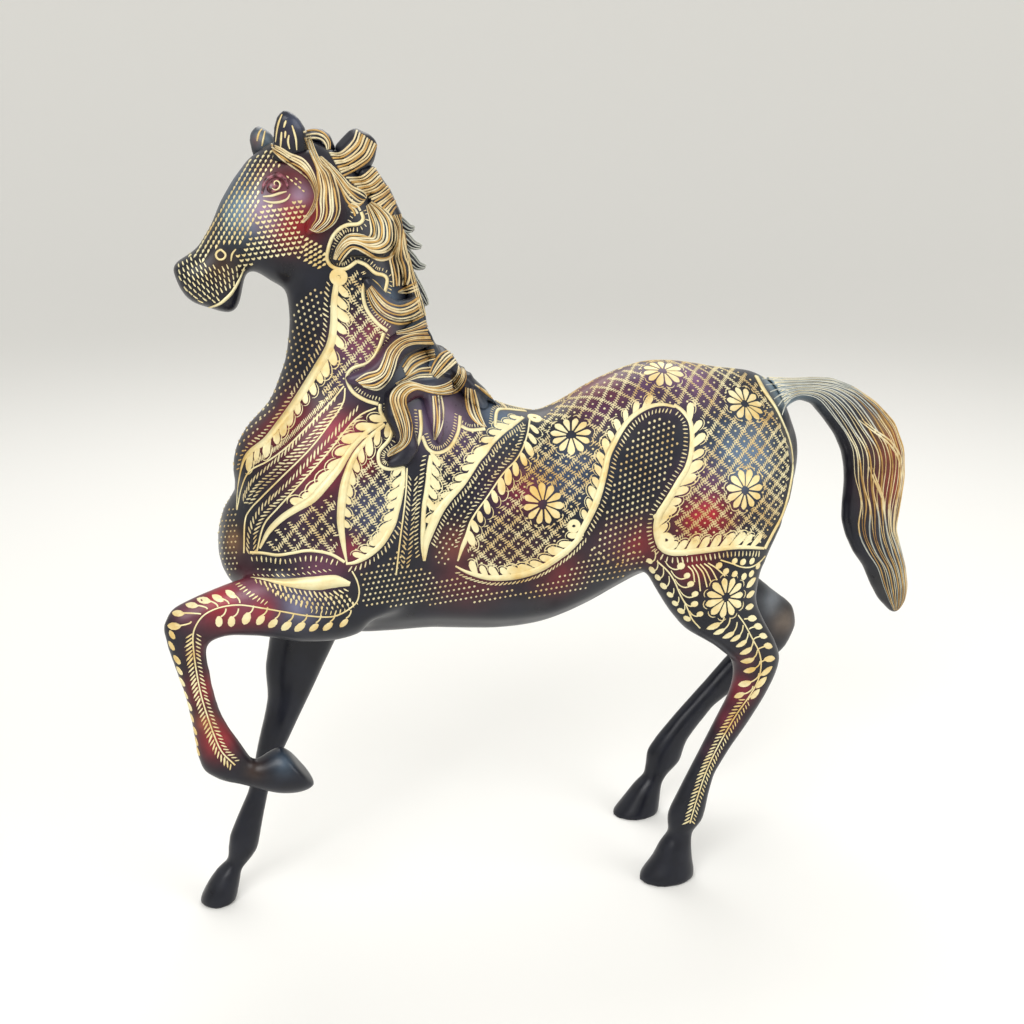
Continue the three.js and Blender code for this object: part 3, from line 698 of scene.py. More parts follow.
def layOnSkin(tree, start, held, shapes):  # presses flat shapes on to the skin and lifts their tops
    target = addNode(tree, "GeometryNodeObjectInfo", links={"Object": start["Skin"]}).outputs["Geometry"]
    solid = addNode(tree, "GeometryNodeRealizeInstances", links={"Geometry": shapes})
    nearest = addNode(tree, "GeometryNodeProximity", {"target_element": "FACES"}, links={"Geometry": target})
    skinNormal = addNode(tree, "GeometryNodeInputNormal")
    normal = addNode(tree, "GeometryNodeSampleNearestSurface", {"data_type": "FLOAT_VECTOR"}, links={
        "Mesh": target, "Value": skinNormal.outputs[0]})
    lift = addNode(tree, "ShaderNodeMath", {"operation": "MULTIPLY"}, links={
        0: held["rise"], 1: start["Lift"]})
    up = addNode(tree, "ShaderNodeVectorMath", {"operation": "SCALE"}, links={
        0: normal.outputs["Value"], "Scale": lift.outputs[0]})
    placed = addNode(tree, "GeometryNodeSetPosition", links={
        "Geometry": solid.outputs[0], "Position": nearest.outputs["Position"], "Offset": up.outputs[0]})
    endTree(tree, start, placed.outputs[0])


def handSize(tree, size, low, high):  # no two marks cut by hand are quite the same size
    hand = addNode(tree, "FunctionNodeRandomValue", {"data_type": "FLOAT"}, {2: low, 3: high, "Seed": 8})
    return addNode(tree, "ShaderNodeMath", {"operation": "MULTIPLY"}, links={0: size, 1: hand.outputs[1]})


def motifsAlongPathTree():
    tree, start, held = newTree("motifsAlongPath", {
        "Geometry": "Geometry", "Motif": "Object", "Mirrored motif": "Object", "Skin": "Object",
        "Spacing": "Float", "Offset": "Float", "Tilt": "Float", "Size": "Float", "Lift": "Float",
        "Material": "Material"}, ("skinNormal", "along", "side", "rise"))
    outward = outwardOf(tree, held)
    sway = addNode(tree, "FunctionNodeRandomValue", {"data_type": "FLOAT"}, {2: -0.14, 3: 0.14, "Seed": 3})
    tilt = addNode(tree, "ShaderNodeMath", {"operation": "ADD"}, links={0: start["Tilt"], 1: sway.outputs[1]})
    cosine = addNode(tree, "ShaderNodeMath", {"operation": "COSINE"}, links={0: tilt.outputs[0]})
    sine = addNode(tree, "ShaderNodeMath", {"operation": "SINE"}, links={0: tilt.outputs[0]})
    forward = addNode(tree, "ShaderNodeVectorMath", {"operation": "SCALE"}, links={
        0: held["along"], "Scale": cosine.outputs[0]})
    sideways = addNode(tree, "ShaderNodeVectorMath", {"operation": "SCALE"}, links={
        0: outward, "Scale": sine.outputs[0]})
    heading = addNode(tree, "ShaderNodeVectorMath", {"operation": "ADD"}, links={
        0: forward.outputs[0], 1: sideways.outputs[0]})
    shift = addNode(tree, "ShaderNodeVectorMath", {"operation": "SCALE"}, links={
        0: outward, "Scale": start["Offset"]})
    turn = addNode(tree, "FunctionNodeAxesToRotation", {"primary_axis": "Z", "secondary_axis": "X"}, links={
        "Primary Axis": held["skinNormal"], "Secondary Axis": heading.outputs[0]})
    size = handSize(tree, start["Size"], 0.8, 1.18)
    moved = addNode(tree, "GeometryNodeSetPosition", links={
        "Geometry": evenCurve(tree, start, "Spacing"), "Offset": shift.outputs[0]})
    leftSide = addNode(tree, "FunctionNodeCompare", {
        "data_type": "FLOAT", "operation": "GREATER_THAN"}, {"B": 0.0}, {"A": held["side"]})
    rightSide = addNode(tree, "FunctionNodeBooleanMath", {"operation": "NOT"}, links={0: leftSide.outputs[0]})
    joined = addNode(tree, "GeometryNodeJoinGeometry")
    for chosen, socket in ((leftSide, "Motif"), (rightSide, "Mirrored motif")):
        motif = addNode(tree, "GeometryNodeObjectInfo", links={"Object": start[socket]}).outputs["Geometry"]
        shapes = addNode(tree, "GeometryNodeInstanceOnPoints", links={
            "Points": moved.outputs[0], "Selection": chosen.outputs[0], "Instance": motif,
            "Rotation": turn.outputs[0], "Scale": size.outputs[0]})
        tree.links.new(shapes.outputs[0], joined.inputs[0])
    layOnSkin(tree, start, held, joined.outputs[0])
    return tree


def motifsOnPointsTree():
    tree, start, held = newTree("motifsOnPoints", {
        "Geometry": "Geometry", "Motif": "Object", "Skin": "Object", "Lift": "Float", "Material": "Material"},
        ("skinNormal", "along", "size", "rise"))
    turn = addNode(tree, "FunctionNodeAxesToRotation", {"primary_axis": "Z", "secondary_axis": "X"}, links={
        "Primary Axis": held["skinNormal"], "Secondary Axis": held["along"]})
    motif = addNode(tree, "GeometryNodeObjectInfo", links={"Object": start["Motif"]}).outputs["Geometry"]
    shapes = addNode(tree, "GeometryNodeInstanceOnPoints", links={
        "Points": start["Geometry"], "Instance": motif, "Rotation": turn.outputs[0],
        "Scale": handSize(tree, held["size"], 0.88, 1.1).outputs[0]})
    layOnSkin(tree, start, held, shapes.outputs[0])
    return tree


def lineOnSkinTree():
    tree, start, held = newTree("lineOnSkin", {
        "Geometry": "Geometry", "Step": "Float", "Offset": "Float", "Width": "Float", "Height": "Float",
        "Material": "Material"}, ("skinNormal", "along", "side", "breadth"))
    reach = addNode(tree, "ShaderNodeMath", {"operation": "MULTIPLY"}, links={
        0: start["Offset"], 1: held["breadth"]})
    shift = addNode(tree, "ShaderNodeVectorMath", {"operation": "SCALE"}, links={
        0: outwardOf(tree, held), "Scale": reach.outputs[0]})
    moved = addNode(tree, "GeometryNodeSetPosition", links={
        "Geometry": evenCurve(tree, start, "Step"), "Offset": shift.outputs[0]})
    upright = addNode(tree, "GeometryNodeSetCurveNormal", {"mode": "FREE"}, links={
        "Curve": moved.outputs[0], "Normal": held["skinNormal"]})
    bar = addNode(tree, "GeometryNodeCurvePrimitiveQuadrilateral", {"mode": "RECTANGLE"}, links={
        "Width": start["Height"], "Height": start["Width"]})
    solid = addNode(tree, "GeometryNodeCurveToMesh", inputs={"Fill Caps": True}, links={
        "Curve": upright.outputs[0], "Profile Curve": bar.outputs[0], "Scale": held["breadth"]})
    endTree(tree, start, solid.outputs[0])
    return tree


alongTree, pointsTree, lineTree = motifsAlongPathTree(), motifsOnPointsTree(), lineOnSkinTree()


# Motifs: flat shapes in mm, pointing along X, with a rise of 1 on top and less than 0 where they sink in

def keepMotif(name, verts, faces, rise):
    mesh = bpy.data.meshes.new(name)
    mesh.from_pydata([(x * mm, y * mm, 0) for x, y in verts], [], faces)
    carry(mesh, {"rise": rise})
    return addObject(name, mesh)


def motif(name, outline, crown=0.6, ridge=False):  # a raised shape, with one point on top where it is ridged
    count = len(outline)
    verts = outline + [(x * crown, y * crown) for x, y in outline]
    faces = [(i, (i + 1) % count, count + (i + 1) % count, count + i) for i in range(count)]
    faces += [tuple(reversed(range(count)))]
    if ridge:
        verts = verts + [(0, 0)]
        faces += [(count + i, count + (i + 1) % count, 2 * count) for i in range(count)]
    else:
        faces += [tuple(range(count, 2 * count))]
    rise = [-0.6] * count + [0.8 if ridge else 1.0] * count + ([1.4] if ridge else [])
    return keepMotif(name, verts, faces, rise)


def ringMotif(name, count, rings):  # closed rings of (length, width, rise), from the buried rim on
    turn = [2 * math.pi * k / count for k in range(count)]
    verts, rise, faces = [], [], []
    for long, wide, up in rings:
        verts += [(math.cos(a) * long / 2, math.sin(a) * wide / 2) for a in turn]
        rise += [up] * count
    for row in range(len(rings) - 1):
        low, high = row * count, (row + 1) * count
        faces += [(low + i, low + (i + 1) % count, high + (i + 1) % count, high + i) for i in range(count)]
    faces += [tuple(reversed(range(count))), tuple(range(len(verts) - count, len(verts)))]
    return keepMotif(name, verts, faces, rise)


def strokeMotif(name, middle, widths):  # a curved stroke along a line of points, as wide as it is told
    rows, rises, faces = [], [], []
    line = np.array(middle, dtype=float)
    ahead = np.gradient(line, axis=0)
    for point, way, wide in zip(line, ahead, widths):
        across = np.array((-way[1], way[0])) / np.linalg.norm(way) * wide / 2
        rows += [tuple(point + across * share) for share in (1, 0.7, -0.7, -1)]
        rises += [-0.6, 1.0, 1.0, -0.6]
    for i in range(len(middle) - 1):
        a, b = 4 * i, 4 * i + 4
        faces += [(a + (k + 1) % 4, a + k, b + k, b + (k + 1) % 4) for k in range(4)]
    last = 4 * len(middle) - 4
    faces += [(0, 1, 2, 3), (last + 3, last + 2, last + 1, last)]
    return keepMotif(name, rows, faces, rises)


def ovalOutline(length, width, count, front=1.0):  # fuller at its front where front is over 1
    turn = [2 * math.pi * k / count for k in range(count)]
    return [(math.cos(a) * length / 2, math.sin(a) * width / 2 * (1 + (front - 1) * math.cos(a)))
            for a in turn]


def hookLine(sign):  # a thin arc round the outer side of a lobe's tip
    turns = [math.radians(a) for a in range(-20, 131, 25)]
    return [(3.6 + 5.0 * math.cos(a), sign * 3.7 * math.sin(a)) for a in turns]


lobeOutline = [(7.4, 0.3), (6.9, 1.5), (5.6, 2.3), (3.6, 2.6), (0.8, 2.3), (-2.2, 1.7), (-5.0, 0.9),
               (-5.0, -0.9), (-1.8, -1.7), (1.6, -2.2), (4.4, -2.1), (6.5, -1.1)]
hookWidths = [0.25, 0.5, 0.62, 0.66, 0.62, 0.5, 0.25]
motifs = {
    "dot": motif("dot", ovalOutline(1.9, 1.7, 6)),
    "comma": motif("comma", [(1.5, 0.1), (0.7, 0.85), (-0.4, 0.65), (-1.7, 0), (-0.4, -0.55), (0.8, -0.65)],
        0.7),
    "heart": motif("heart", [(1.3, 0), (0.4, 1.3), (-0.9, 1.45), (-0.5, 0), (-0.9, -1.45), (0.4, -1.3)], 0.8),
    "tick": motif("tick", [(1.1, 0.16), (0, 0.3), (-1.1, 0.16), (-1.1, -0.16), (0, -0.3), (1.1, -0.16)], 0.7),
    "dash": motif("dash", [(2.0, 0.2), (0.8, 0.55), (-2.0, 0.28), (-2.0, -0.28), (0.8, -0.55), (2.0, -0.2)],
        0.8),
    "lobe": motif("lobe", lobeOutline, 0.9),
    "lobeMirrored": motif("lobeMirrored", [(x, -y) for x, y in reversed(lobeOutline)], 0.9),
    "hook": strokeMotif("hook", hookLine(1), hookWidths),
    "hookMirrored": strokeMotif("hookMirrored", hookLine(-1), hookWidths),
    "leafOval": motif("leafOval", ovalOutline(10.6, 4.9, 14, 1.1), 0.9),
    "oval": motif("oval", [(4.9, 0), (3.6, 1.7), (1.4, 2.6), (-1.4, 2.5), (-3.8, 1.4), (-4.3, 0),
        (-3.8, -1.4), (-1.4, -2.5), (1.4, -2.6), (3.6, -1.7)], 0.86, True),
    "berry": motif("berry", ovalOutline(5.4, 4.6, 10), 0.84, True),
    "petal": motif("petal", [(5.3, 0.2), (4.4, 1.4), (3.1, 2.15), (1.0, 2.0), (-2.0, 1.15), (-4.8, 0.4),
        (-4.8, -0.4), (-2.0, -1.15), (1.0, -2.0), (3.1, -2.15), (4.4, -1.4), (5.3, -0.2)], 0.9),
    "needle": motif("needle", [(2.9, 0), (1.2, 0.5), (-1.6, 0.55), (-2.8, 0.2), (-2.8, -0.2), (-1.6, -0.55),
        (1.2, -0.5)], 0.7),
    "leaf": motif("leaf", [(6.0, 0), (4.4, 1.5), (1.8, 2.6), (-1.2, 2.6), (-3.6, 1.7), (-5.2, 0),
        (-3.6, -1.5), (-1.2, -2.3), (1.8, -2.2), (4.4, -1.2)], 0.9),
    "arc": strokeMotif("arc", [(0, 2.6), (0.9, 1.8), (1.4, 0.7), (1.4, -0.7), (0.9, -1.8), (0, -2.6)],
        [0.3, 0.6, 0.7, 0.7, 0.6, 0.3]),
    "eyelet": ringMotif("eyelet", 18, [(10.8, 10.4, -0.6), (10.2, 9.8, 1.0), (6.0, 5.6, 1.3),
        (2.8, 2.2, 1.0), (2.4, 1.8, -0.6)]),
    "eyeball": ringMotif("eyeball", 24, [(12.4, 8.2, -0.4), (12.0, 7.8, 0.1), (10.2, 6.6, 0.62),
        (7.4, 4.8, 0.9), (4.0, 2.6, 1.04), (1.2, 0.8, 1.08)]),
}
pieces = []


def evaluated(mesh, tree, values):  # runs a tree on a mesh and gives back the plain mesh that comes out
    obj = addObject("engraver", mesh)
    modifier = obj.modifiers.new("engrave", "NODES")
    modifier.node_group = tree
    for item in tree.interface.items_tree:
        if item.in_out == "INPUT" and item.name in values:
            modifier[item.identifier] = values[item.name]
    plain = bpy.data.meshes.new_from_object(obj.evaluated_get(bpy.context.evaluated_depsgraph_get()))
    bpy.data.objects.remove(obj)
    bpy.data.meshes.remove(mesh)
    return plain


def lines(paths, width, height=0.7, offset=0.0, step=1.2):
    values = {"Step": step * mm, "Offset": offset * mm, "Width": width * mm, "Height": height * mm,
              "Material": cutBrass}
    return evaluated(pathMesh(paths), lineTree, values)


def along(paths, shape, spacing, offset=0.0, tilt=90, size=1.0, lift=0.35):
    other = motifs.get(shape + "Mirrored", motifs[shape])
    values = {"Motif": motifs[shape], "Mirrored motif": other, "Skin": skin, "Spacing": spacing * mm,
              "Offset": offset * mm, "Tilt": math.radians(tilt), "Size": size, "Lift": lift * mm,
              "Material": cutBrass}
    return evaluated(pathMesh(paths), alongTree, values)


def stamped(marks, shape, lift=0.35):
    values = {"Motif": motifs[shape], "Skin": skin, "Lift": lift * mm, "Material": cutBrass}
    return evaluated(pointMesh(marks), pointsTree, values)


def keepPiece(name, meshes, finish=None, slot="bare_brass"):  # joins meshes into one piece of the figure
    joined = bmesh.new()
    for mesh in meshes:
        joined.from_mesh(mesh)
        bpy.data.meshes.remove(mesh)
    mesh = bpy.data.meshes.new(name)
    joined.to_mesh(mesh)
    joined.free()
    for attribute in carried:
        if attribute in mesh.attributes:
            mesh.attributes.remove(mesh.attributes[attribute])
    mesh.materials.clear()
    mesh.materials.append(finish or cutBrass)
    obj = addObject(name, mesh)
    pieces.append((obj, slot, []))
    return obj


def pixelMarks(points, both=True, size=1.0):  # points: px, py and where the mark points, in degrees
    marks = []
    for px, py, angle in points:
        place, normal = castPixel(px, py)
        if place is None:
            continue
        turn = math.radians(angle)
        heading = eye["right"] * math.cos(turn) + eye["up"] * math.sin(turn)
        marks.append((place, normal, heading, size))
        if both:
            marks.append((*acrossMiddle(place), Vector((heading.x, -heading.y, heading.z)), size))
    return marks


def pixelGrid(outline, pitch, rowPitch, angle=0, point=None):  # staggered rows inside an outline by pixel
    turn = math.radians(angle)
    ux, uy = math.cos(turn), -math.sin(turn)
    xs, ys = [p[0] for p in outline], [p[1] for p in outline]
    cx, cy = sum(xs) / len(xs), sum(ys) / len(ys)
    reach = int(max(max(xs) - min(xs), max(ys) - min(ys)) / min(pitch, rowPitch)) + 2
    found = []
    for row in range(-reach, reach + 1):
        for col in range(-reach, reach + 1):
            a, b = (col + 0.5 * (row % 2)) * pitch, row * rowPitch
            px, py = cx + a * ux - b * uy, cy + a * uy + b * ux
            if insideOutline(px, py, outline):
                found.append((px, py, angle if point is None else point))
    return found


# Leaf borders: a solid band whose one edge is smooth and whose other is cut into lobes that lean the way
# it grows. Each has its smooth edge by pixel, the side of the lobes, their spacing in mm, tilt, the share of
# the length that has lobes, and the breadth of the band from its root to its tip.

leafBorders = {
    "neck": ([(335, 275), (331, 300), (330, 325), (326, 345), (314, 366), (303, 384), (290, 404),
        (276, 423), (264, 438), (250, 449), (243, 459), (239, 476), (237, 492), (236, 509)],
        1, 7.6, 42, (0.05, 0.78), (1.0, 1.2, 1.5, 1.6, 1.5, 1.2, 0.5, 0.25)),
    "vLeft": ([(429, 455), (427, 466), (426, 477), (424, 492), (422, 505), (421, 520), (420.5, 535),
        (421, 549), (423, 561)], 1, 7.2, 36, (0.02, 0.44), (0.8, 1.0, 1.0, 0.9, 0.8, 0.9, 0.6, 0.3)),
    "vRight": ([(524.6, 418), (515, 425.6), (504, 434), (493, 445), (487, 454), (480, 462), (471.5, 475.4),
        (465, 485), (457.4, 494), (450, 502.5), (443.4, 512), (438, 523), (433.6, 533), (429, 545),
        (425.5, 561)], -1, 7.6, 30, (0.03, 0.74), (0.7, 0.9, 0.9, 0.9, 0.9, 1.4, 1.7, 1.5, 0.4)),
    "flankLeft": ([(529, 419), (527.3, 431), (524.6, 441), (520, 452), (514, 461), (507, 468), (500, 476.5),
        (492, 488.5), (485.6, 498), (476, 511), (469.4, 522), (465, 535), (460.7, 546), (457, 561)],
        1, 8.3, 44, (0.06, 0.84), (0.35, 0.3, 0.3, 0.3, 0.3, 0.3, 0.4, 0.9, 0.3)),
    "flankBottom": ([(583, 538), (571.6, 550.4), (557, 561.6), (542, 571), (525.7, 577), (509.4, 580),
        (493, 580.5), (479, 578), (465.5, 573), (455, 566.7)], -1, 7.8, 40, (0.02, 0.88),
        (1.1, 1.3, 1.3, 1.3, 1.2, 0.9, 0.3)),
    "loopLeft": ([(580, 540), (590, 522), (597, 508), (602, 494.5), (606, 479), (608.4, 468), (611, 456),
        (617, 443), (623, 432), (631, 421), (641, 413), (651.4, 408), (663, 406), (675, 408)],
        1, 8.0, 38, (0.13, 0.86), (1.2, 1.3, 1.3, 1.2, 1.1, 0.9, 0.8, 0.5)),
    "loopRight": ([(660, 550), (656, 544), (653.5, 534), (653.4, 524), (656, 513), (663, 502), (670.5, 490),
        (677, 479), (684, 468), (688, 456), (689.5, 445), (689.7, 433), (688, 422), (681, 412), (673, 406)],
        -1, 8.6, 36, (0.12, 0.9), (1.1, 1.7, 1.5, 1.3, 1.1, 1.0, 0.9, 0.7)),
    "rumpBottom": ([(657, 547), (663, 552.6), (671.6, 555.5), (683, 555.5), (697, 554), (713, 552),
        (730, 549.7), (745, 549), (764, 549.5)], 1, 7.8, 42, (0.14, 0.92), (1.2, 1.3, 1.2, 1.0, 0.8, 0.5)),
    "plume": ([(384, 424), (370.5, 432), (362.5, 440), (354, 449.5), (347, 461), (342, 470), (336, 478),
        (328, 488), (315, 502), (299.4, 511), (287, 518.4), (278, 525.5), (270, 533.7), (264.7, 542),
        (260.6, 549)], -1, 9.0, 26, (0.0, 0.66), (0.6, 0.9, 1.1, 1.4, 1.6, 1.4, 1.2, 1.0, 0.4)),
    "paisleyLeft": ([(384, 423), (371, 433), (363, 441), (355, 450), (348.5, 461), (343.5, 473.5),
        (340, 485), (338, 497.6), (337, 510), (337, 523), (339, 535.5), (342, 549), (346, 563)],
        1, 7.7, 36, (0.0, 0.74), (0.6, 0.8, 0.9, 1.2, 1.5, 1.5, 1.3, 0.9, 0.3)),
    "paisleyRight": ([(405, 466.6), (405.5, 478), (404, 490), (401.5, 503), (399, 512.5), (396, 524),
        (391, 534), (384, 544.7), (376, 552.7), (366, 559.6), (355.6, 564), (346, 565)],
        -1, 7.6, 36, (0.03, 0.86), (0.7, 1.0, 1.1, 1.1, 1.1, 1.0, 0.9, 0.4)),
}
leafCut = {
    "band": 3.6,
    "bandHeight": 0.56,
    "lobeFrom": 1.0,  # mm from the smooth edge to the root of a lobe
    "lobeRoot": 5.0,
    "lift": 0.3,
    "outlineLift": 0.25,
    "swirlLift": 0.45,
    "bigger": {"plume": 1.25, "loopRight": 1.25, "flankBottom": 1.12, "neck": 1.12, "rumpBottom": 1.15},
}
swirls = [(573.7, 526, 0), (666, 540, 0), (534.5, 418, 0), (338.5, 277, 0)]
hatching = [  # border, share, side, spacing, offset, tilt and size of the dashes beside its smooth edge
    ("neck", (0.04, 0.5), -1, 3.2, 3.2, 125, 1.05), ("neck", (0.5, 0.86), -1, 3.2, 3.2, 48, 1.1),
    ("vRight", (0.04, 0.9), 1, 2.5, 2.8, 60, 0.95), ("flankLeft", (0.06, 0.92), -1, 2.8, 3.0, 50, 0.9),
    ("loopLeft", (0.06, 0.98), -1, 2.9, 3.2, 110, 1.0), ("loopRight", (0.02, 0.96), 1, 2.9, 3.0, 90, 0.95),
    ("flankBottom", (0.0, 0.96), 1, 2.8, 2.6, 32, 1.05), ("rumpBottom", (0.0, 0.97), -1, 3.2, 3.4, 84, 1.1),
    ("vLeft", (0.02, 0.96), -1, 2.8, 2.9, 55, 0.95), ("paisleyRight", (0.45, 0.98), 1, 2.9, 2.9, 60, 1.0),
]


def engraveBorders():
    bands, lobes, hooks, hatch = [], [], [], []
    for name, (edge, side, spacing, tilt, share, breadth) in leafBorders.items():
        smoothEdge = pixelPaths(edge, side=side, breadth=breadth)
        bands.append(lines(smoothEdge, leafCut["band"], leafCut["bandHeight"], leafCut["band"] / 2))
        lobed = pixelPaths(edge, side=side, share=share)
        size = leafCut["bigger"].get(name, 1.0)
        offset = leafCut["lobeFrom"] + leafCut["lobeRoot"] * size * math.sin(math.radians(tilt))
        shape = "leafOval" if name == "flankLeft" else "lobe"
        lobes.append(along(lobed, shape, spacing, offset, tilt, size, leafCut["lift"]))
        hooks.append(along(lobed, "hook", spacing, offset, tilt, size, leafCut["outlineLift"]))
    for name, share, side, spacing, offset, tilt, size in hatching:
        edge = pixelPaths(leafBorders[name][0], side=side, share=share)
        hatch.append(along(edge, "dash", spacing, offset, tilt, size))
    keepPiece("leaf_border_bands", bands)
    keepPiece("leaf_border_lobes", lobes)
    keepPiece("leaf_border_outlines", hooks)
    keepPiece("leaf_border_hatching", hatch, tonedBrass)
    keepPiece("leaf_border_swirls", [stamped(pixelMarks(swirls), "eyelet", leafCut["swirlLift"])])
    print("leaf borders cut")


engraveBorders()


maneOutlines = [
    [(361, 212), (363, 219), (358, 224), (347, 225), (338, 230), (331, 240), (327, 258), (333, 267),
        (345, 269), (357, 261)],
    [(357, 261), (366, 265), (375, 273), (383, 275), (387, 279), (386, 287), (384, 294)],
    [(385, 295), (381, 290), (375, 283), (367, 280), (363, 292), (366, 308), (376, 322), (387, 331)],
    [(384, 333), (377, 352), (368, 363), (353, 368), (347, 377), (352, 391), (365, 400), (378, 404)],
    [(380, 404), (381, 413), (391, 425), (390, 438), (379, 452), (380, 465), (391, 469), (405, 463),
        (417, 445), (421, 428), (420, 410)],
    [(422, 436), (428, 449), (438, 453), (450, 447), (458, 432), (460, 416)],
    [(461, 426), (470, 430), (485, 429)],
    [(495, 425), (497, 411), (505, 409), (526, 411)],
]
besideForelock = [(343, 190), (347, 203), (347, 214), (340, 226), (331, 234)]


def engraveManeOutlines():
    paths = allPaths(maneOutlines)
    keepPiece("mane_outline_bands", [lines(paths, width=2.3, height=0.8)])
    beside = pixelPaths(besideForelock)
    ticks = along(paths + beside, "dash", spacing=2.1, offset=3.3, tilt=84, size=0.7, lift=0.3)
    keepPiece("mane_outline_ticks", [ticks], tonedBrass)
    print("mane outlines cut")


engraveManeOutlines()


lattices = {
    "lean": 50,
    "pixel": [  # pitch in px and outline
        (12.8, [(345, 284), (352, 274), (366, 270), (362, 296), (367, 314), (384, 332), (377, 350),
            (367, 362), (350, 367), (345, 380), (328, 402), (318, 404), (330, 376), (343, 350),
            (347, 320)]),
        (14.0, [(263, 549), (276, 530), (300, 515), (330, 496), (337, 490), (334, 508), (335, 527),
            (339, 551), (334, 553), (308, 549), (284, 551)]),
        (12.6, [(352, 506), (357, 480), (363, 466), (372, 460), (379, 468), (390, 472), (397, 474),
            (395, 496), (388, 516), (379, 534), (366, 548), (354, 556), (350, 534)]),
        (12.0, [(436, 456), (450, 446), (462, 432), (486, 432), (482, 440), (472, 452), (462, 470),
            (450, 488), (436, 506), (433, 480)]),
    ],
    "trunkPitch": 12.6,  # mm
    "trunkSlope": 1.15,  # of a line, how far it goes round for its way along
    "trunkAxis": 298,  # mm above the ground
    "trunkRadius": 75,
    "trunkCast": 140,  # mm from the axis, outside the skin
    "trunkReach": 190,  # mm round from the spine
    "trunkStep": 1.6,
    "trunkSpan": (-150, 165),
    "trunkLines": (-40, 52),
    "cellRows": 30,
    "cellColumns": 13,  # to each side
    "cellSize": 1.1,
    "grazing": 0.12,  # the picture decides where the skin is turned to it by more than this
    "topSpan": (-30, 138),  # mm, where the top of the back is latticed unseen
    "topHeight": 330,
    "back": [(541, 418), (560, 403), (600, 382), (640, 362), (680, 356), (720, 362), (753, 377), (768, 401),
        (781, 426), (788, 447), (789, 475), (780, 512), (762, 545), (730, 539), (690, 543), (672, 538),
        (676, 516), (690, 492), (702, 466), (705, 440), (702, 412), (692, 404), (668, 403), (644, 404),
        (622, 414), (608, 432), (597, 458), (591, 482), (577, 512), (565, 534), (547, 553), (520, 566),
        (490, 568), (464, 558), (474, 540), (494, 516), (514, 488), (528, 462), (538, 440)],
}
flowers = [(663, 371), (745, 404), (745, 490), (571, 435), (543, 504), (726, 597.6)]
flowerPlaces = [castPixel(*flower) for flower in flowers]


def clearOfFlowers(place, reach=14.6):
    return all((place - centre).length > reach * mm for centre, _ in flowerPlaces)


def pixelLattice(pitch, outline):
    found, cells = [], []
    lean = math.radians(lattices["lean"])
    xs, ys = [p[0] for p in outline], [p[1] for p in outline]
    middle = np.array((sum(xs) / len(xs), sum(ys) / len(ys)))
    directions = [np.array((math.cos(a), math.sin(a))) for a in (lean, -lean)]
    reach = max(max(xs) - min(xs), max(ys) - min(ys))
    count = int(reach / pitch) + 1
    for walk in directions:
        step = np.array((-walk[1], walk[0])) * pitch
        for k in range(-count, count + 1):
            casts = []
            for t in np.arange(-reach, reach, 2.0):
                px, py = middle + step * k + walk * t
                casts.append(castPixel(px, py) if insideOutline(px, py, outline) else (None, None))
            found += pathFrom(casts)
    stride = pitch / math.sin(2 * lean)
    for i in range(-count, count + 1):
        for j in range(-count, count + 1):
            px, py = middle + directions[0] * (i + 0.5) * stride + directions[1] * (j + 0.5) * stride
            if insideOutline(px, py, outline):
                cells.append((px, py, 0))
    return found + [mirrored(path) for path in found], pixelMarks(cells)


def trunkPoint(x, drop):  # a point of the trunk's near side, by how far round from the spine it is
    turn = drop / lattices["trunkRadius"]
    axis = spot(x, 0, lattices["trunkAxis"])
    out = Vector((0, -math.sin(turn), math.cos(turn)))
    place, normal, _, _ = skinTree.ray_cast(axis + out * lattices["trunkCast"] * mm, -out)
    return place, normal


def onLatticedBack(place, normal):
    if place is None or not clearOfFlowers(place):
        return False
    if normal.dot(eye["at"] - place) > lattices["grazing"] * (eye["at"] - place).length:
        return insideOutline(*toPixel(place), lattices["back"])
    low, high = lattices["topSpan"]
    return low < place.x / mm - drawnShift.x < high and place.z > lattices["topHeight"] * mm


def trunkLattice():
    found, cells = [], []
    pitch, slope = lattices["trunkPitch"], lattices["trunkSlope"]
    low, high = lattices["trunkSpan"]
    for sign in (1, -1):
        for k in range(*lattices["trunkLines"]):
            casts = []
            for drop in np.arange(0, lattices["trunkReach"], lattices["trunkStep"]):
                x = k * pitch + sign * drop / slope
                place, normal = trunkPoint(x, drop) if low < x < high else (None, None)
                casts.append((place, normal) if onLatticedBack(place, normal) else (None, None))
            found += pathFrom(casts)
    for row in range(lattices["cellRows"]):
        for k in range(-lattices["cellColumns"], lattices["cellColumns"] + 1):
            place, normal = trunkPoint((k + 0.5 * (row % 2)) * pitch, (row + 1) * pitch * slope / 2)
            if onLatticedBack(place, normal):
                cells += [(*acrossMiddle(place, side), Vector((1, 0, 0)), lattices["cellSize"])
                          for side in (1, -1)]
    return found + [mirrored(path) for path in found], cells


def engraveLattices():
    found, cells = trunkLattice()
    for pitch, outline in lattices["pixel"]:
        moreLines, moreCells = pixelLattice(pitch, outline)
        found += moreLines
        cells += moreCells
    keepPiece("lattice_lines", [lines(found, width=0.3, height=0.5)], tonedBrass)
    barbs = along(found, "tick", spacing=1.8, tilt=66, size=1.7, lift=0.3)
    keepPiece("lattice_barbs", [barbs], tonedBrass)
    keepPiece("lattice_dots", [stamped(cells, "dot", lift=0.4)])
    print("lattices cut:", len(found), "lines,", len(cells), "dots")


engraveLattices()


flowerLook = {
    "petals": 11,
    "petalFrom": 7.3,  # mm
    "tips": 12.7,  # mm
    "turned": 0.3,  # of a petal, from one flower to the next
    "body": 1.17,  # size
    "thigh": 1.24,
}


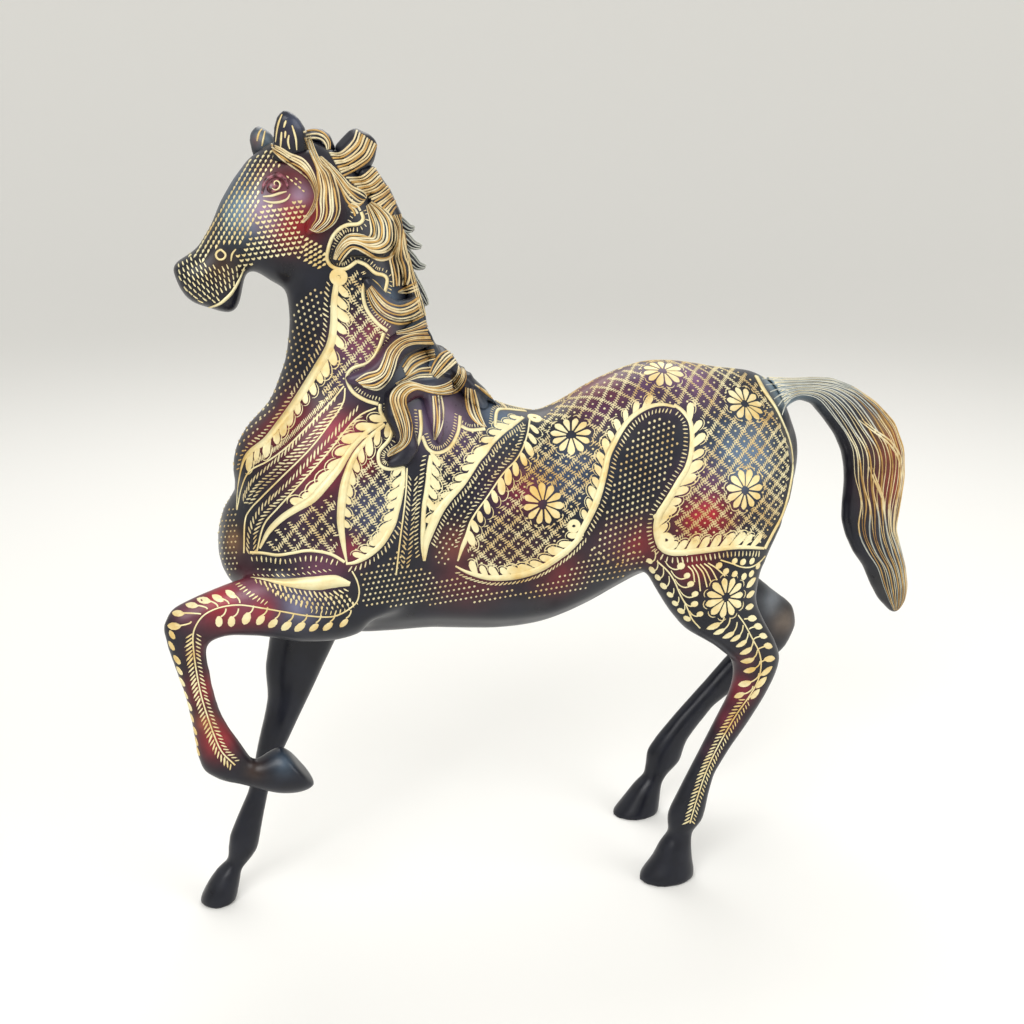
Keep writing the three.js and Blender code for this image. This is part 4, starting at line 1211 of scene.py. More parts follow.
def engraveFlowers():
    petals, tips = [], []
    for number, (centre, normal) in enumerate(flowerPlaces):
        first = normal.cross(Vector((0, 0, 1))).normalized()
        second = normal.cross(first)
        size = flowerLook["thigh" if number == len(flowerPlaces) - 1 else "body"]
        for side in (1, -1):
            for k in range(flowerLook["petals"]):
                turn = 2 * math.pi * (k + flowerLook["turned"] * number) / flowerLook["petals"]
                out = first * math.cos(turn) + second * math.sin(turn)
                for marks, reach in ((petals, flowerLook["petalFrom"]), (tips, flowerLook["tips"])):
                    place = centre + out * reach * size * mm
                    heading = Vector((out.x, out.y * side, out.z))
                    marks.append((*acrossMiddle(place, side), heading, size))
    keepPiece("flower_petals", [stamped(petals, "petal")])
    keepPiece("flower_outlines", [stamped(tips, "arc", lift=0.3)], tonedBrass)
    print("flowers cut")


engraveFlowers()


punched = {  # outline, pitch, row pitch, angle of the rows, angle of the marks, shape, size
    "muzzle": ([(175, 264), (190, 257), (206, 262), (213, 266), (224, 264), (238, 268), (240, 278),
        (230, 291), (216, 301), (204, 304), (191, 297), (183, 286), (177, 274)],
        4.7, 6.0, 28, -62, "dash", 0.95),
    "nose": ([(266, 150), (250, 158), (238, 174), (228, 190), (220, 206), (212, 224), (204, 240),
        (188, 256), (206, 262), (213, 248), (228, 243), (242, 244), (252, 232), (257, 216), (259, 200),
        (262, 180), (270, 171), (282, 168), (280, 156)], 5.2, 4.6, 60, 68, "comma", 1.15),
    "cheek": ([(236, 256), (244, 246), (254, 234), (259, 218), (261, 206), (286, 205), (298, 198),
        (307, 205), (306, 222), (298, 229), (305, 236), (304, 258), (280, 258), (262, 257), (250, 266),
        (242, 274)], 6.0, 5.0, 8, -80, "heart", 1.0),
    "jaw": ([(302, 234), (322, 246), (327, 254), (326, 269), (312, 267), (302, 258)],
        5.4, 4.4, 30, 30, "comma", 1.3),
    "brow": ([(286, 174), (300, 180), (307, 194), (296, 190), (288, 182)], 5.0, 4.6, 20, -40, "comma", 0.9),
    "throat": ([(325, 285), (322, 300), (321, 325), (316, 345), (304, 366), (293, 383), (280, 401),
        (266, 419), (254, 434), (242, 447), (235, 462), (231, 476), (232, 455), (243, 432), (257, 410),
        (271, 388), (283, 362), (290, 340), (293, 312), (306, 290)], 5.8, 5.8, 40, 70, "dot", 1.2),
    "breast": ([(230, 505), (236, 509), (237.5, 530), (237.5, 566), (231, 578), (224, 572), (218, 556),
        (217, 540), (219, 524)], 3.9, 5.4, 4, 70, "dot", 0.95),
    "loop": ([(618, 470), (627, 446), (637, 430), (650, 421), (664, 418), (674, 424), (678, 440),
        (675, 458), (664, 480), (652, 498), (643, 520), (640, 545), (632, 562), (612, 566), (596, 560),
        (594, 546), (605, 520)], 5.4, 5.8, 20, 70, "dot", 1.3),
    "girth": ([(360, 572), (374, 568), (392, 557), (404, 545), (407, 566), (424, 568), (440, 579),
        (456, 575), (466, 581), (480, 587), (496, 590), (514, 590), (532, 587), (550, 580), (567, 571),
        (582, 560), (594, 546), (612, 566), (640, 546), (651, 560), (640, 572), (612, 579), (585, 588),
        (545, 596), (500, 601), (450, 604), (400, 607), (363, 607), (363, 588)],
        5.2, 5.2, 10, 60, "dot", 1.15),
    "saddle": ([(521, 430), (518, 446), (504, 466), (488, 488), (470, 512), (458, 536), (448, 566),
        (432, 566), (438, 540), (450, 518), (464, 494), (480, 470), (500, 444)],
        5.6, 5.6, 52, 60, "dot", 1.05),
}
punchedNear = [  # short rows on the raised foreleg's cuff: points, spacing, tilt, shape, size
    ([(252, 559), (262, 559), (285, 561.5), (305, 558.5), (320, 559), (337, 563)], 3.4, 88, "dash", 0.95),
    ([(258, 569), (280, 570), (300, 568.5), (316, 566)], 4.2, 88, "dot", 0.85),
    ([(254, 575), (275, 575.5), (300, 574), (330, 570)], 3.2, 140, "dash", 0.7),
    ([(256, 581), (270, 585), (290, 590), (310, 594), (330, 594.5), (346, 590)], 3.3, 128, "dash", 1.2),
    ([(268, 589), (281, 594), (294, 597), (308, 599), (322, 599.5), (347, 596)], 3.3, 110, "comma", 1.15),
    ([(276, 594.5), (287, 599), (299, 602), (312, 603.5), (326, 604), (350, 600)], 3.4, 105, "comma", 1.1),
    ([(291, 602), (308, 607), (320, 608), (332, 608), (353, 603.5)], 3.4, 100, "comma", 1.0),
    ([(238, 584), (246, 591), (256, 598), (266, 603)], 2.4, 70, "dash", 1.0),
    ([(312, 611), (324, 612.5), (335, 612.5), (348.4, 609), (357, 603)], 3.0, 75, "dash", 0.8),
]


def engravePunches():
    byShape = {}
    for outline, pitch, row, angle, point, shape, size in punched.values():
        marks = pixelMarks(pixelGrid(outline, pitch, row, angle, point), size=size)
        byShape.setdefault(shape, []).extend(marks)
    for shape, marks in byShape.items():
        finish = cutBrass if shape != "dot" else tonedBrass
        keepPiece("punched_" + shape + "s", [stamped(marks, shape, lift=0.45)], finish)
    rows = [along(pixelPaths(points, False), shape, spacing, tilt=tilt, size=size)
            for points, spacing, tilt, shape, size in punchedNear]
    keepPiece("cuff_rows", rows)
    print("punch marks:", sum(len(marks) for marks in byShape.values()))


engravePunches()


shoulderLines = {
    "curves": [
        [(344, 386), (330, 403), (310, 424), (287, 447), (268, 461), (250, 471), (242, 487), (237, 510)],
        [(345, 388), (343, 403), (330, 423), (310, 449), (281, 478), (262, 497), (250, 510), (245, 522),
            (244, 553)],
        [(376, 408), (362, 414), (349, 426), (327, 454), (301, 483), (278, 508), (264, 525), (257, 551)],
        [(407, 468), (406, 490), (404, 510), (400, 540), (396, 575)],
    ],
    "rumpEdge": [(756, 376.5), (764.4, 391.7), (775.6, 408.3), (784.4, 426.7), (788.5, 437.3), (791.2, 448),
        (792.4, 458.7), (792.4, 469.3), (791, 480), (787, 499), (781, 517), (772, 534), (764.5, 548.5)],
    "rumpBreadth": (2.8, 3, 2.6, 2, 1.8, 1.8, 1.9, 2, 2.1, 2.2, 2.3),
    "herringbone": [
        [(338, 401), (318, 422), (296, 446), (272, 468), (254, 484), (245, 500)],
        [(360, 411), (344, 428), (320, 454), (292, 484), (264, 510), (253, 530), (251, 551)],
    ],
    "needleRow": [(340, 409), (324, 428), (302, 452), (278, 474), (260, 490), (251, 503)],
    "ladder": [(338, 388), (322, 404), (302, 424), (284, 442), (266, 455), (252, 464)],
    "strip": [(413, 478), (412, 496), (410, 516), (408, 540), (405, 566)],
    "cuffLine": [(250, 552.5), (263, 553), (277.6, 555), (292, 553), (306, 550.6), (320.7, 551.6),
        (333, 555), (344.6, 562)],
    "bladeMiddle": [(251, 577), (266, 579.3), (283, 582.2), (300, 583.2), (318, 583), (335, 581.3),
        (350, 584)],
    "bladeBreadth": (0.1, 0.2, 0.4, 0.65, 0.9, 1.0, 0.9, 0.3),
}


def engraveShoulder():
    curves = allPaths(shoulderLines["curves"])
    cuff = lines(pixelPaths(shoulderLines["cuffLine"], False), width=1.9)
    middle = pixelPaths(shoulderLines["bladeMiddle"], False, breadth=shoulderLines["bladeBreadth"])
    blade = lines(middle, width=9.4, height=1.2)
    rump = lines(pixelPaths(shoulderLines["rumpEdge"], breadth=shoulderLines["rumpBreadth"]), width=1.1)
    keepPiece("shoulder_curves", [lines(curves, width=1.0), cuff, blade, rump])
    rows = []
    for points in shoulderLines["herringbone"]:
        rows += [along(pixelPaths(points, side=side), "needle", spacing=3.3, offset=2.5, tilt=146, size=1.1)
                 for side in (1, -1)]
    rows.append(along(pixelPaths(shoulderLines["needleRow"]), "needle", spacing=3.3, tilt=146))
    rows.append(along(pixelPaths(shoulderLines["ladder"]), "tick", spacing=1.3, tilt=70, size=1.7))
    rows += [along(pixelPaths(shoulderLines["strip"], side=side), "needle", spacing=3.2, offset=2.2, tilt=140,
                   size=0.9) for side in (1, -1)]
    keepPiece("herringbone_rows", rows, tonedBrass)
    print("shoulder cut")


engraveShoulder()


vines = {
    "foreStem": [(352, 571), (357.5, 582), (359, 594), (354, 605), (335, 616), (310, 616), (285, 612),
        (262, 608), (240, 605), (222, 607), (207, 613), (198, 622), (193, 635), (194, 655), (197, 675),
        (201, 695), (207, 715), (214, 735), (222, 752), (235, 765)],
    "foreOvals": [(219, 621.5, -90), (231.5, 621.5, -94), (246.5, 618.5, -108), (260.5, 620, -118),
        (273, 623.5, -125), (286.5, 626, -125), (300, 627, -128), (314, 627.5, -130), (328, 626.5, -130),
        (344, 623, -125)],
    "foreTop": [(231, 594, 140), (218, 598, 148), (204, 600, 155), (192, 605, 160), (178, 613, 165),
        (174, 626, 178)],
    "foreTopEnds": [(240, 603), (229, 604), (218, 607), (207.6, 609), (201, 614), (191.5, 621.5)],
    "foreEdge": [(172, 635, 120), (171.5, 646, 115), (177, 660, 115), (179.5, 671, 115), (182, 682, 112),
        (186, 695, 110), (189.5, 706.5, 108), (192, 718, 106), (195, 731, 104), (196.5, 741.5, 104),
        (198, 751.5, 104)],
    "foreTicks": [(194, 636), (194, 655), (197, 675), (201, 695), (207, 715), (214, 735), (222, 752),
        (234, 764)],
    "thighStem": [(657, 561), (667.7, 571), (674.4, 581), (680, 594), (686, 605), (692, 618.6), (700, 628)],
    "thighLeft": [(649.6, 561), (652, 570), (657.7, 577.5), (663.4, 586), (670, 594.7), (675, 603.3),
        (681, 611), (687, 618.6)],
    "thighRight": [(681, 566), (687, 575.6), (690.7, 584), (695, 594), (694.5, 604), (700, 614)],
    "leftStalk": [(1, 1), (4.5, -0.5), (6, -5), (5.5, -10)],  # from a berry, in px
    "rightStalk": [(0, 2), (-6, 3.5), (-12, 0.5), (-16, -5)],
    "longStalks": 4,  # and the stalks after these are shorter
    "shortStalk": 0.66,
    "ovalFoot": (2, -5),  # px from an oval to its stalk
    "ovalEnd": (7, -13),  # and to the stem
    "berries": [(719, 565.5, 30), (726, 571.3, 30), (734.7, 574, 40), (734.7, 561, 30), (743, 562, 30),
        (752, 561, 30), (758, 566, 30), (751.4, 573.7, 30), (744, 576.5, 60), (751.5, 582, 90)],
    "berryStem": [(720.4, 560), (732, 563.6), (741.4, 567), (751, 567), (759.6, 562), (765, 556)],
    "fan": [[(688, 566), (693, 572), (694.5, 582)], [(692, 565), (698, 575), (700.3, 591)],
        [(696, 564.5), (703, 573), (707, 587)], [(700, 564), (706, 571), (711, 582)],
        [(704, 563.5), (711, 569), (717, 580)], [(708, 563), (716, 568), (725, 576)]],
    "hindStem": [(738, 615), (745, 625), (753, 640), (759, 652), (761, 665), (758, 680), (750, 695),
        (738, 712), (727, 730), (715, 752), (706, 772), (699, 792), (693, 812), (690, 823)],
    "hindLeft": [(714, 626, 212), (719.5, 631.5, 215), (729, 635, 215), (736, 638, 218), (742, 643.5, 220),
        (746.5, 651, 218), (748, 660.5, 205), (750, 670, 205), (745, 683.5, 200), (739.5, 695, 205)],
    "hindLeftEnds": [(724, 617), (730, 618), (737, 622), (743, 625), (748, 633), (753, 641), (757, 651),
        (760, 661), (759, 673), (753, 686)],
    "hindRight": [(751, 583, 20), (750.5, 594.5, 8), (749.5, 607, 4), (752, 618.5, -4), (758, 626.5, -8),
        (763, 636, -10), (768, 646, -14), (769.5, 659, -8), (766.5, 671.5, 35), (761, 683, 50),
        (755, 694.5, 55)],
    "hindRightEnds": [None, None, None, (744, 619), (749, 629), (753, 640), (757, 651), (760, 664),
        (760, 676), (754, 689), (748, 700)],
    "hindTicks": [(745, 702), (738, 712), (727, 730), (715, 752), (706, 772), (699, 792), (693, 812),
        (690, 823)],
    # the same vines on the far legs, whose outer sides the picture doesn't show, in mm
    "farHind": [(100, 245), (118, 222), (142, 196), (170, 172), (178, 155), (162, 128), (138, 108),
        (116, 88), (98, 66)],
    "farFore": [(-180, 238), (-190, 205), (-202, 170), (-212, 142), (-224, 116), (-236, 92), (-246, 66)],
}


def stalks(leaves, ends):  # a bent stalk from each leaf to its end on the stem
    found = []
    for leaf, end in zip(leaves, ends):
        if end is None:
            continue
        (lx, ly), (ex, ey) = leaf[:2], end
        bends = [(lx + (ex - lx) * across, ly + (ey - ly) * down)
                 for across, down in ((0.5, 0.2), (0.9, 0.6))]
        found.append([(lx, ly), *bends, (ex, ey)])
    return found


def engraveVines():
    stems = []
    for name, both in (("foreStem", False), ("thighStem", True), ("hindStem", False), ("berryStem", True)):
        stems += pixelPaths(vines[name], both)
    stems += allPaths(vines["fan"])
    for berries, stalk in (("thighLeft", "leftStalk"), ("thighRight", "rightStalk")):
        for i, (bx, by) in enumerate(vines[berries]):
            reach = 1 if i < vines["longStalks"] else vines["shortStalk"]
            points = [(bx + dx * reach, by + dy * reach) for dx, dy in vines[stalk]]
            stems += pixelPaths(points, breadth=(1, 0.9, 0.6))
    stalked = [(vines[name], vines[name + "Ends"]) for name in ("foreTop", "hindLeft", "hindRight")]
    stalked.append([[(px + dx, py + dy) for px, py, _ in vines["foreOvals"]]
                    for dx, dy in (vines["ovalFoot"], vines["ovalEnd"])])
    for leaves, ends in stalked:
        stems += allPaths(stalks(leaves, ends), both=False)
    far = sidePaths(vines["farHind"], 1) + sidePaths(vines["farFore"], 1)
    keepPiece("vine_stems", [lines(stems + far, width=0.95)])
    ovals = pixelMarks(vines["foreOvals"], False) + pixelMarks(vines["foreEdge"], False, 0.8)
    leaves = []
    for name, size in (("foreTop", 0.95), ("hindLeft", 0.95), ("hindRight", 1.02)):
        leaves += pixelMarks(vines[name], False, size)
    farLeaves = [along([dict(path, side=side) for path in far], "oval", spacing=9, offset=6, tilt=55,
                       size=0.8, lift=0.45) for side in (1, -1)]
    nearLeaves = [stamped(ovals, "oval", lift=0.4), stamped(leaves, "leaf", lift=0.4)]
    keepPiece("vine_leaves", nearLeaves + farLeaves)
    berries = [(px, py, angle) for name, angle in (("thighLeft", 150), ("thighRight", 30))
               for px, py in vines[name]]
    keepPiece("vine_berries", [stamped(pixelMarks(berries + vines["berries"], size=1.08), "berry", lift=0.5)])
    ticked = pixelPaths(vines["foreTicks"], False) + pixelPaths(vines["hindTicks"], False)
    feathers = [along([dict(path, side=side) for path in ticked], "needle", spacing=3.0, offset=3.2, tilt=46,
                      size=size) for side, size in ((-1, 1.25), (1, 0.95))]
    keepPiece("feather_ticks", feathers)
    print("vines cut")


engraveVines()


# Hair: each casting filed round and lacquered, with raised gilt strands along its locks

locks = {  # x and y of a pixel on each edge of a lock, from its root to its tip
    "foreInner": [(271, 143, 273, 152), (282, 147, 281, 160), (290, 152, 290, 166), (304, 158, 300, 173),
        (313, 171, 308, 180), (318, 187, 313, 190), (318, 201, 314, 198), (313, 213, 309, 210),
        (304, 223, 300, 223)],
    "foreOuter": [(311, 136, 304, 138), (316, 150, 309, 152), (322, 162, 316, 169), (332, 171, 317, 179),
        (337, 185, 318, 190), (340, 198, 316, 202), (341, 211, 316, 211), (336, 223, 315, 219),
        (326, 231, 311, 225), (319, 233, 310, 229), (312, 231, 309, 229)],
    "temple": [(322, 156, 318, 157), (333, 166, 327, 168), (344, 177, 336, 182), (352, 186, 341, 192),
        (363, 190, 346, 203), (367, 193, 355, 208), (367, 197, 363, 203)],
    "hook": [(372, 201, 366, 206), (384, 208, 368, 216), (393, 218, 370, 226), (396, 231, 370, 233),
        (395, 244, 367, 237), (386, 253, 361, 234), (374, 253, 353, 233), (363, 246, 346, 235),
        (351, 244, 340, 242), (342, 252, 336, 249), (336, 260, 333, 259)],
    "hookUnder": [(399, 246, 394, 252), (392, 258, 386, 257), (380, 262, 376, 256), (366, 255, 363, 249),
        (355, 249, 352, 246), (347, 255, 344, 251), (341, 263, 338, 259)],
    "fan1": [(328, 151, 343, 177), (338, 152, 353, 172), (346, 147, 362, 167), (353, 139, 371, 160),
        (356, 130, 378, 146)],
    "fan2": [(345, 177, 391, 216), (361, 176, 396, 208), (373, 166, 401, 205), (381, 162, 406, 208)],
    "curl": [(352, 203, 347, 206), (358, 205, 352, 212), (361, 210, 354, 217)],
    "lowerCrest": [(402, 213, 403, 218), (402.5, 228, 405, 234), (403.5, 244, 408, 248), (407, 258, 411, 261),
        (409, 270, 414, 272), (412, 284, 417.5, 284), (416, 298, 422, 300), (419, 310, 426, 316)],
    "crestFlow": [(389, 216, 402, 214), (396, 228, 404, 226), (396, 244, 403, 244), (388, 257, 406, 257),
        (389, 268, 410, 266), (391, 279, 411, 277), (392, 287, 409, 284)],
    "leafEnd": [(416, 281, 417, 291), (409, 285, 408, 294), (398, 291, 398, 293)],
    "bowl": [(424, 318, 418, 296), (411, 324, 410, 302), (396, 325, 400, 305), (381, 318, 389, 302),
        (371, 306, 381, 295), (366, 291, 372, 285)],
    "cross": [(425, 319, 428, 331), (415, 325, 418, 332), (405, 329, 408, 334), (396, 331, 397, 335)],
    "sweep": [(427, 332, 434, 345), (412, 333, 415, 345), (398, 338, 404, 349), (387, 348, 398, 358),
        (382, 361, 395, 369), (377, 370, 390, 381), (365, 373, 379, 391), (355, 380, 364, 387)],
    "gap": [(434, 348, 436, 360), (422, 350, 424, 364), (410, 355, 414, 370), (402, 366, 407, 379)],
    "under": [(431, 366, 432, 379), (418, 368, 419, 379), (404, 378, 407, 382), (395, 383, 397, 385)],
    "knob": [(429, 373, 438, 379), (433, 363, 446, 373), (439, 354, 456, 364), (446, 350, 460, 360)],
    "scroll": [(466, 371, 458, 364), (466, 381, 456, 374), (458, 392, 448, 382), (444, 395, 436, 386),
        (430, 393, 424, 385), (418, 390, 408, 381), (408, 396, 396, 386), (407, 405, 389, 396),
        (411, 417, 391, 408), (413, 428, 396, 422), (411, 440, 400, 435), (405, 448, 398, 443),
        (396, 454, 389, 449), (388, 457, 387, 455)],
    "drop": [(431, 396, 442, 396), (432, 408, 444, 408), (433, 420, 444, 420), (433, 430, 442, 429),
        (434, 440, 436, 440)],
    "withers": [(465, 387, 475, 390), (464, 399, 479, 403), (466, 411, 482, 414), (473, 421, 486, 424),
        (483, 427, 487, 427)],
    "withersEnd": [(474, 384, 480, 388), (486, 391, 491, 398), (497, 398, 501, 405), (506, 406, 508, 410)],
    "tuft": [(303, 131, 306, 140), (314, 129, 316, 139), (324, 132, 322, 141), (331, 140, 325, 146),
        (331, 149, 326, 150)],
}
hairCut = {
    "voxel": 1.0,
    "swell": 0.15,
    "passes": 12,
    "returnPasses": 30,
    "strandPitch": 3.3,  # px across a lock
    "strandRadius": 0.66,  # mm
    "strandShare": 0.36,  # of the pitch
    "strandSway": 0.16,  # of the pitch
    "thinnest": 0.2,  # of the radius
    "thickest": 1.3,
    "pixel": 0.67,  # mm
    "tailPasses": 40,
    "tailReturn": 90,
    "flareFrom": 158,  # mm
    "flareLength": 16,
    "flareWide": 0.5,
    "flareHigh": 0.35,
    "dockHeight": 361,
    "sink": 0.4,  # mm into the rump
    "castings": [
        "mane_left", "mane_right", "forelock_left", "forelock_right", "poll_tuft_front", "poll_tuft_rear",
        "tail"],
}


def strandTree():  # round gilt strands along paths, as thick at each point as the path says
    tree, start, held = newTree("strandOnHair", {
        "Geometry": "Geometry", "Step": "Float", "Radius": "Float", "Material": "Material"}, ("breadth",))
    ring = addNode(tree, "GeometryNodeCurvePrimitiveCircle", {"mode": "RADIUS"}, {"Resolution": 6}, {
        "Radius": start["Radius"]})
    solid = addNode(tree, "GeometryNodeCurveToMesh", inputs={"Fill Caps": True}, links={
        "Curve": evenCurve(tree, start, "Step"), "Profile Curve": ring.outputs[0], "Scale": held["breadth"]})
    smooth = addNode(tree, "GeometryNodeSetShadeSmooth", links={"Geometry": solid.outputs[0]})
    endTree(tree, start, smooth.outputs[0])
    return tree


strandsTree = strandTree()


def strands(paths, radius, step=1.5):
    values = {"Step": step * mm, "Radius": radius * mm, "Material": giltStrand}
    return evaluated(pathMesh(paths), strandsTree, values)


def flareRoot(mesh):  # the tail's root spreads out and lies down on the rump
    points, _ = meshArrays(mesh)
    dock = hairCut["dockHeight"] * mm
    for i, (x, y, z) in enumerate(points):
        away = (hairCut["flareFrom"] - (x / mm - drawnShift.x)) / hairCut["flareLength"]
        share = min(1, max(0, away)) ** 2
        if share > 0:
            high = dock + (z - dock) * (1 + hairCut["flareHigh"] * share)
            wide = Vector((x, y * (1 + hairCut["flareWide"] * share), high))
            there, normal, _, _ = skinTree.find_nearest(wide)
            points[i] = wide.lerp(there - normal * hairCut["sink"] * mm, share)
    setPoints(mesh, points)


hairTints = [  # px, py, radius in mm, colour, strength
    (375, 230, 10, "#3f4f5c", 0.7), (410, 262, 12, "#46586a", 0.7), (376, 312, 8, "#7c2a1c", 0.9),
    (410, 322, 10, "#4a5a6a", 0.7), (392, 350, 9, "#4a3a52", 0.5), (425, 360, 10, "#465a6c", 0.5),
    (410, 395, 9, "#5a2226", 0.7), (437, 420, 9, "#55405a", 0.55), (330, 195, 9, "#3c4450", 0.6),
]
tailTints = [  # x, y, z, radius in mm, colour, strength
    (246, -12, 322, 18, "#8a401c", 0.85), (247, -12, 288, 19, "#7c2a16", 0.9),
    (247, 12, 294, 19, "#7c2a16", 0.8), (236, -12, 340, 14, "#8a6a34", 0.7),
    (190, 0, 368, 18, "#5c6a74", 0.7), (150, 0, 364, 20, "#7c909c", 0.9),
    (262, 0, 210, 22, "#4c4a44", 0.6), (250, 0, 250, 16, "#4a4a50", 0.6),
]
hairSpots = castSpots(hairTints, (1, -1)) + [
    (np.array((x + drawnShift.x, y, z)) * mm, radius, colour, strength)
    for x, y, z, radius, colour, strength in tailTints]


def castHair():
    meshes = {}
    for name in hairCut["castings"]:
        mesh = fuse([name], hairCut["swell"], hairCut["voxel"])
        smoothCasting(mesh, hairCut["passes"], hairCut["returnPasses"])
        if name.startswith("mane"):
            fitCrest(mesh)
        if name == "tail":
            smoothCasting(mesh, hairCut["tailPasses"], hairCut["tailReturn"])
            flareRoot(mesh)
        paintCasting(mesh, skinSpots + hairSpots)
        pieces.append((addObject(name + "_casting", mesh), "gilt_hair", [name]))
        meshes[name] = mesh
    return meshes


hairMeshes = castHair()


ears = {
    "voxel": 0.8,
    "swell": 0.12,
    "passes": 10,
    "returnPasses": 24,
    "blunt": 0.34,
    "bluntFrom": 0.3,  # of the height
    "bluntEnd": 1.03,
    "bluntMost": 1.9,
    "foot": 0.15,  # of the height, the part whose middle is the foot of the axis
    "tip": 0.97,
    "left": [[(282, 114.5), (279, 122), (277, 131), (275.6, 142)], [(286, 120.5), (283.7, 127.5)],
        [(281.6, 132), (280.5, 147)], [(289, 135), (288, 141.6), (289.7, 149)],
        [(292, 125.4), (295.6, 138), (296.7, 150)], [(285.5, 131), (285, 138)]],
    "right": [[(257, 141), (259, 133), (262, 129)], [(262, 146), (263.5, 138), (265, 131)]],
    "tints": [(262, 138, 7, "#6d7f8c", 0.8), (256, 141, 4, "#6a4a44", 0.6), (296, 122, 6, "#525a72", 0.7),
        (288, 135, 6, "#2e2838", 0.7)],
}


def bluntTip(mesh):  # a rounder tip than the faceted casting has
    points, _ = meshArrays(mesh)
    low, high = points[:, 2].min(), points[:, 2].max()
    t = (points[:, 2] - low) / (high - low)
    foot, tip = points[t < ears["foot"]].mean(axis=0), points[t > ears["tip"]].mean(axis=0)
    axis = foot + (tip - foot) * t[:, None]
    left = (ears["bluntEnd"] - t) / (ears["bluntEnd"] - ears["bluntFrom"])
    wider = np.where(t > ears["bluntFrom"], np.minimum(left ** -ears["blunt"], ears["bluntMost"]), 1.0)
    points[:, :2] = axis[:, :2] + (points[:, :2] - axis[:, :2]) * wider[:, None]
    setPoints(mesh, points)


def castEars():
    meshes = []
    for name in ("left_ear", "right_ear"):
        mesh = fuse([name], ears["swell"], ears["voxel"])
        smoothCasting(mesh, ears["passes"], ears["returnPasses"])
        bluntTip(mesh)
        pieces.append((addObject(name + "_casting", mesh), "enamelled_body", [name]))
        meshes.append(mesh)
    tree = treeOf(*meshes)
    spots = castSpots(ears["tints"], (1,), tree)
    for mesh in meshes:
        paintCasting(mesh, spots)
    strokes = allPaths(ears["left"] + ears["right"], both=False, breadth=(0.6, 1.0, 0.9, 0.5), target=tree)
    strokes += [mirrored(path, tree) for path in strokes[:len(ears["left"])]]
    keepPiece("ear_strokes", [lines(strokes, width=1.25)])
    print("ears cast")
    return meshes


earMeshes = castEars()
headOfHair = treeOf(skinMesh, *earMeshes, *[mesh for name, mesh in hairMeshes.items() if name != "tail"])
tailTree = treeOf(hairMeshes["tail"])
print("hair cast")


def lockPaths():
    near = []
    for rows in locks.values():
        widths = [math.dist(row[:2], row[2:]) for row in rows]
        count = max(2, round(max(widths) / hairCut["strandPitch"]))
        for k in range(count):
            middle, thick = [], []
            share = hairCut["strandShare"] * hairCut["pixel"] / hairCut["strandRadius"] / count
            for i, (ax, ay, bx, by) in enumerate(rows):
                t = (k + 0.5 + hairCut["strandSway"] * math.sin(0.9 * i + 2.9 * k + len(near))) / count
                middle.append((ax + (bx - ax) * t, ay + (by - ay) * t))
                wide = widths[i] * share * (0.8 + 0.45 * math.sin(2.3 * k + i) ** 2)
                thick.append(min(hairCut["thickest"], max(hairCut["thinnest"], wide)))
            near += pixelPaths(middle, False, breadth=thick, target=headOfHair)
    return near


def gildHair():
    near = lockPaths()
    far = [mirrored(path, headOfHair) for path in near]
    for side, paths in (("left", near), ("right", far)):
        for name, some, finish in (("mane_strands_", paths[::3] + paths[1::3], giltStrand),
                                   ("mane_shade_strands_", paths[2::3], shadeStrand)):
            keepPiece(name + side, [strands(some, hairCut["strandRadius"])], finish, "gilt_hair")
    print("locks gilded:", len(near), "strands a side")


gildHair()


farTips = {  # px, locks that show past the crest from its far side
    "locks": [[(396, 220), (404, 226), (409, 229), (414, 228.5)],
        [(398, 231), (406, 239), (413, 245), (421, 247)], [(403, 251), (411, 259), (418, 266), (425, 267)],
        [(409, 275), (415, 285), (422, 296), (427, 305)]],
    "radius": 4.2,
    "taper": [(0, 0.5, 0.9, 1), (1, 0.85, 0.55, 0.3)],  # share of the length, and of the radius
    "behind": 3,  # mm past the middle plane
    "strands": 9,
    "strandRadius": 0.5,
}


def castFarTips():
    paths, rows = [], []
    for points in farTips["locks"]:
        casts = []
        for px, py in smoothPixels(points):
            ray = pixelRay(px, py)
            far = (farTips["behind"] * mm - eye["at"].y) / ray.y
            casts.append((eye["at"] + ray * far, Vector((0, 1, 0))))
        paths += pathFrom(casts, breadths=np.interp(np.linspace(0, 1, len(casts)), *farTips["taper"]))
    piece = keepPiece("far_lock_tips", [strands(paths, farTips["radius"])], lacquer, "gilt_hair")
    paintCasting(piece.data, hairSpots)
    for path in paths:
        run = path["run"]
        across = (run[-1][0] - run[0][0]).cross(Vector((0, 1, 0))).normalized()
        for k in range(farTips["strands"]):
            turn = math.radians(360 / farTips["strands"] * k)
            out = (across * math.sin(turn) - Vector((0, math.cos(turn), 0))) * farTips["radius"] * mm
            around = [(place + out * wide, normal, 0.5 + wide / 2) for place, normal, wide in run]
            rows.append({"run": around, "side": 1})
    keepPiece("far_lock_strands", [strands(rows, farTips["strandRadius"])], silverStrand, "gilt_hair")
    print("far lock tips cast")


castFarTips()


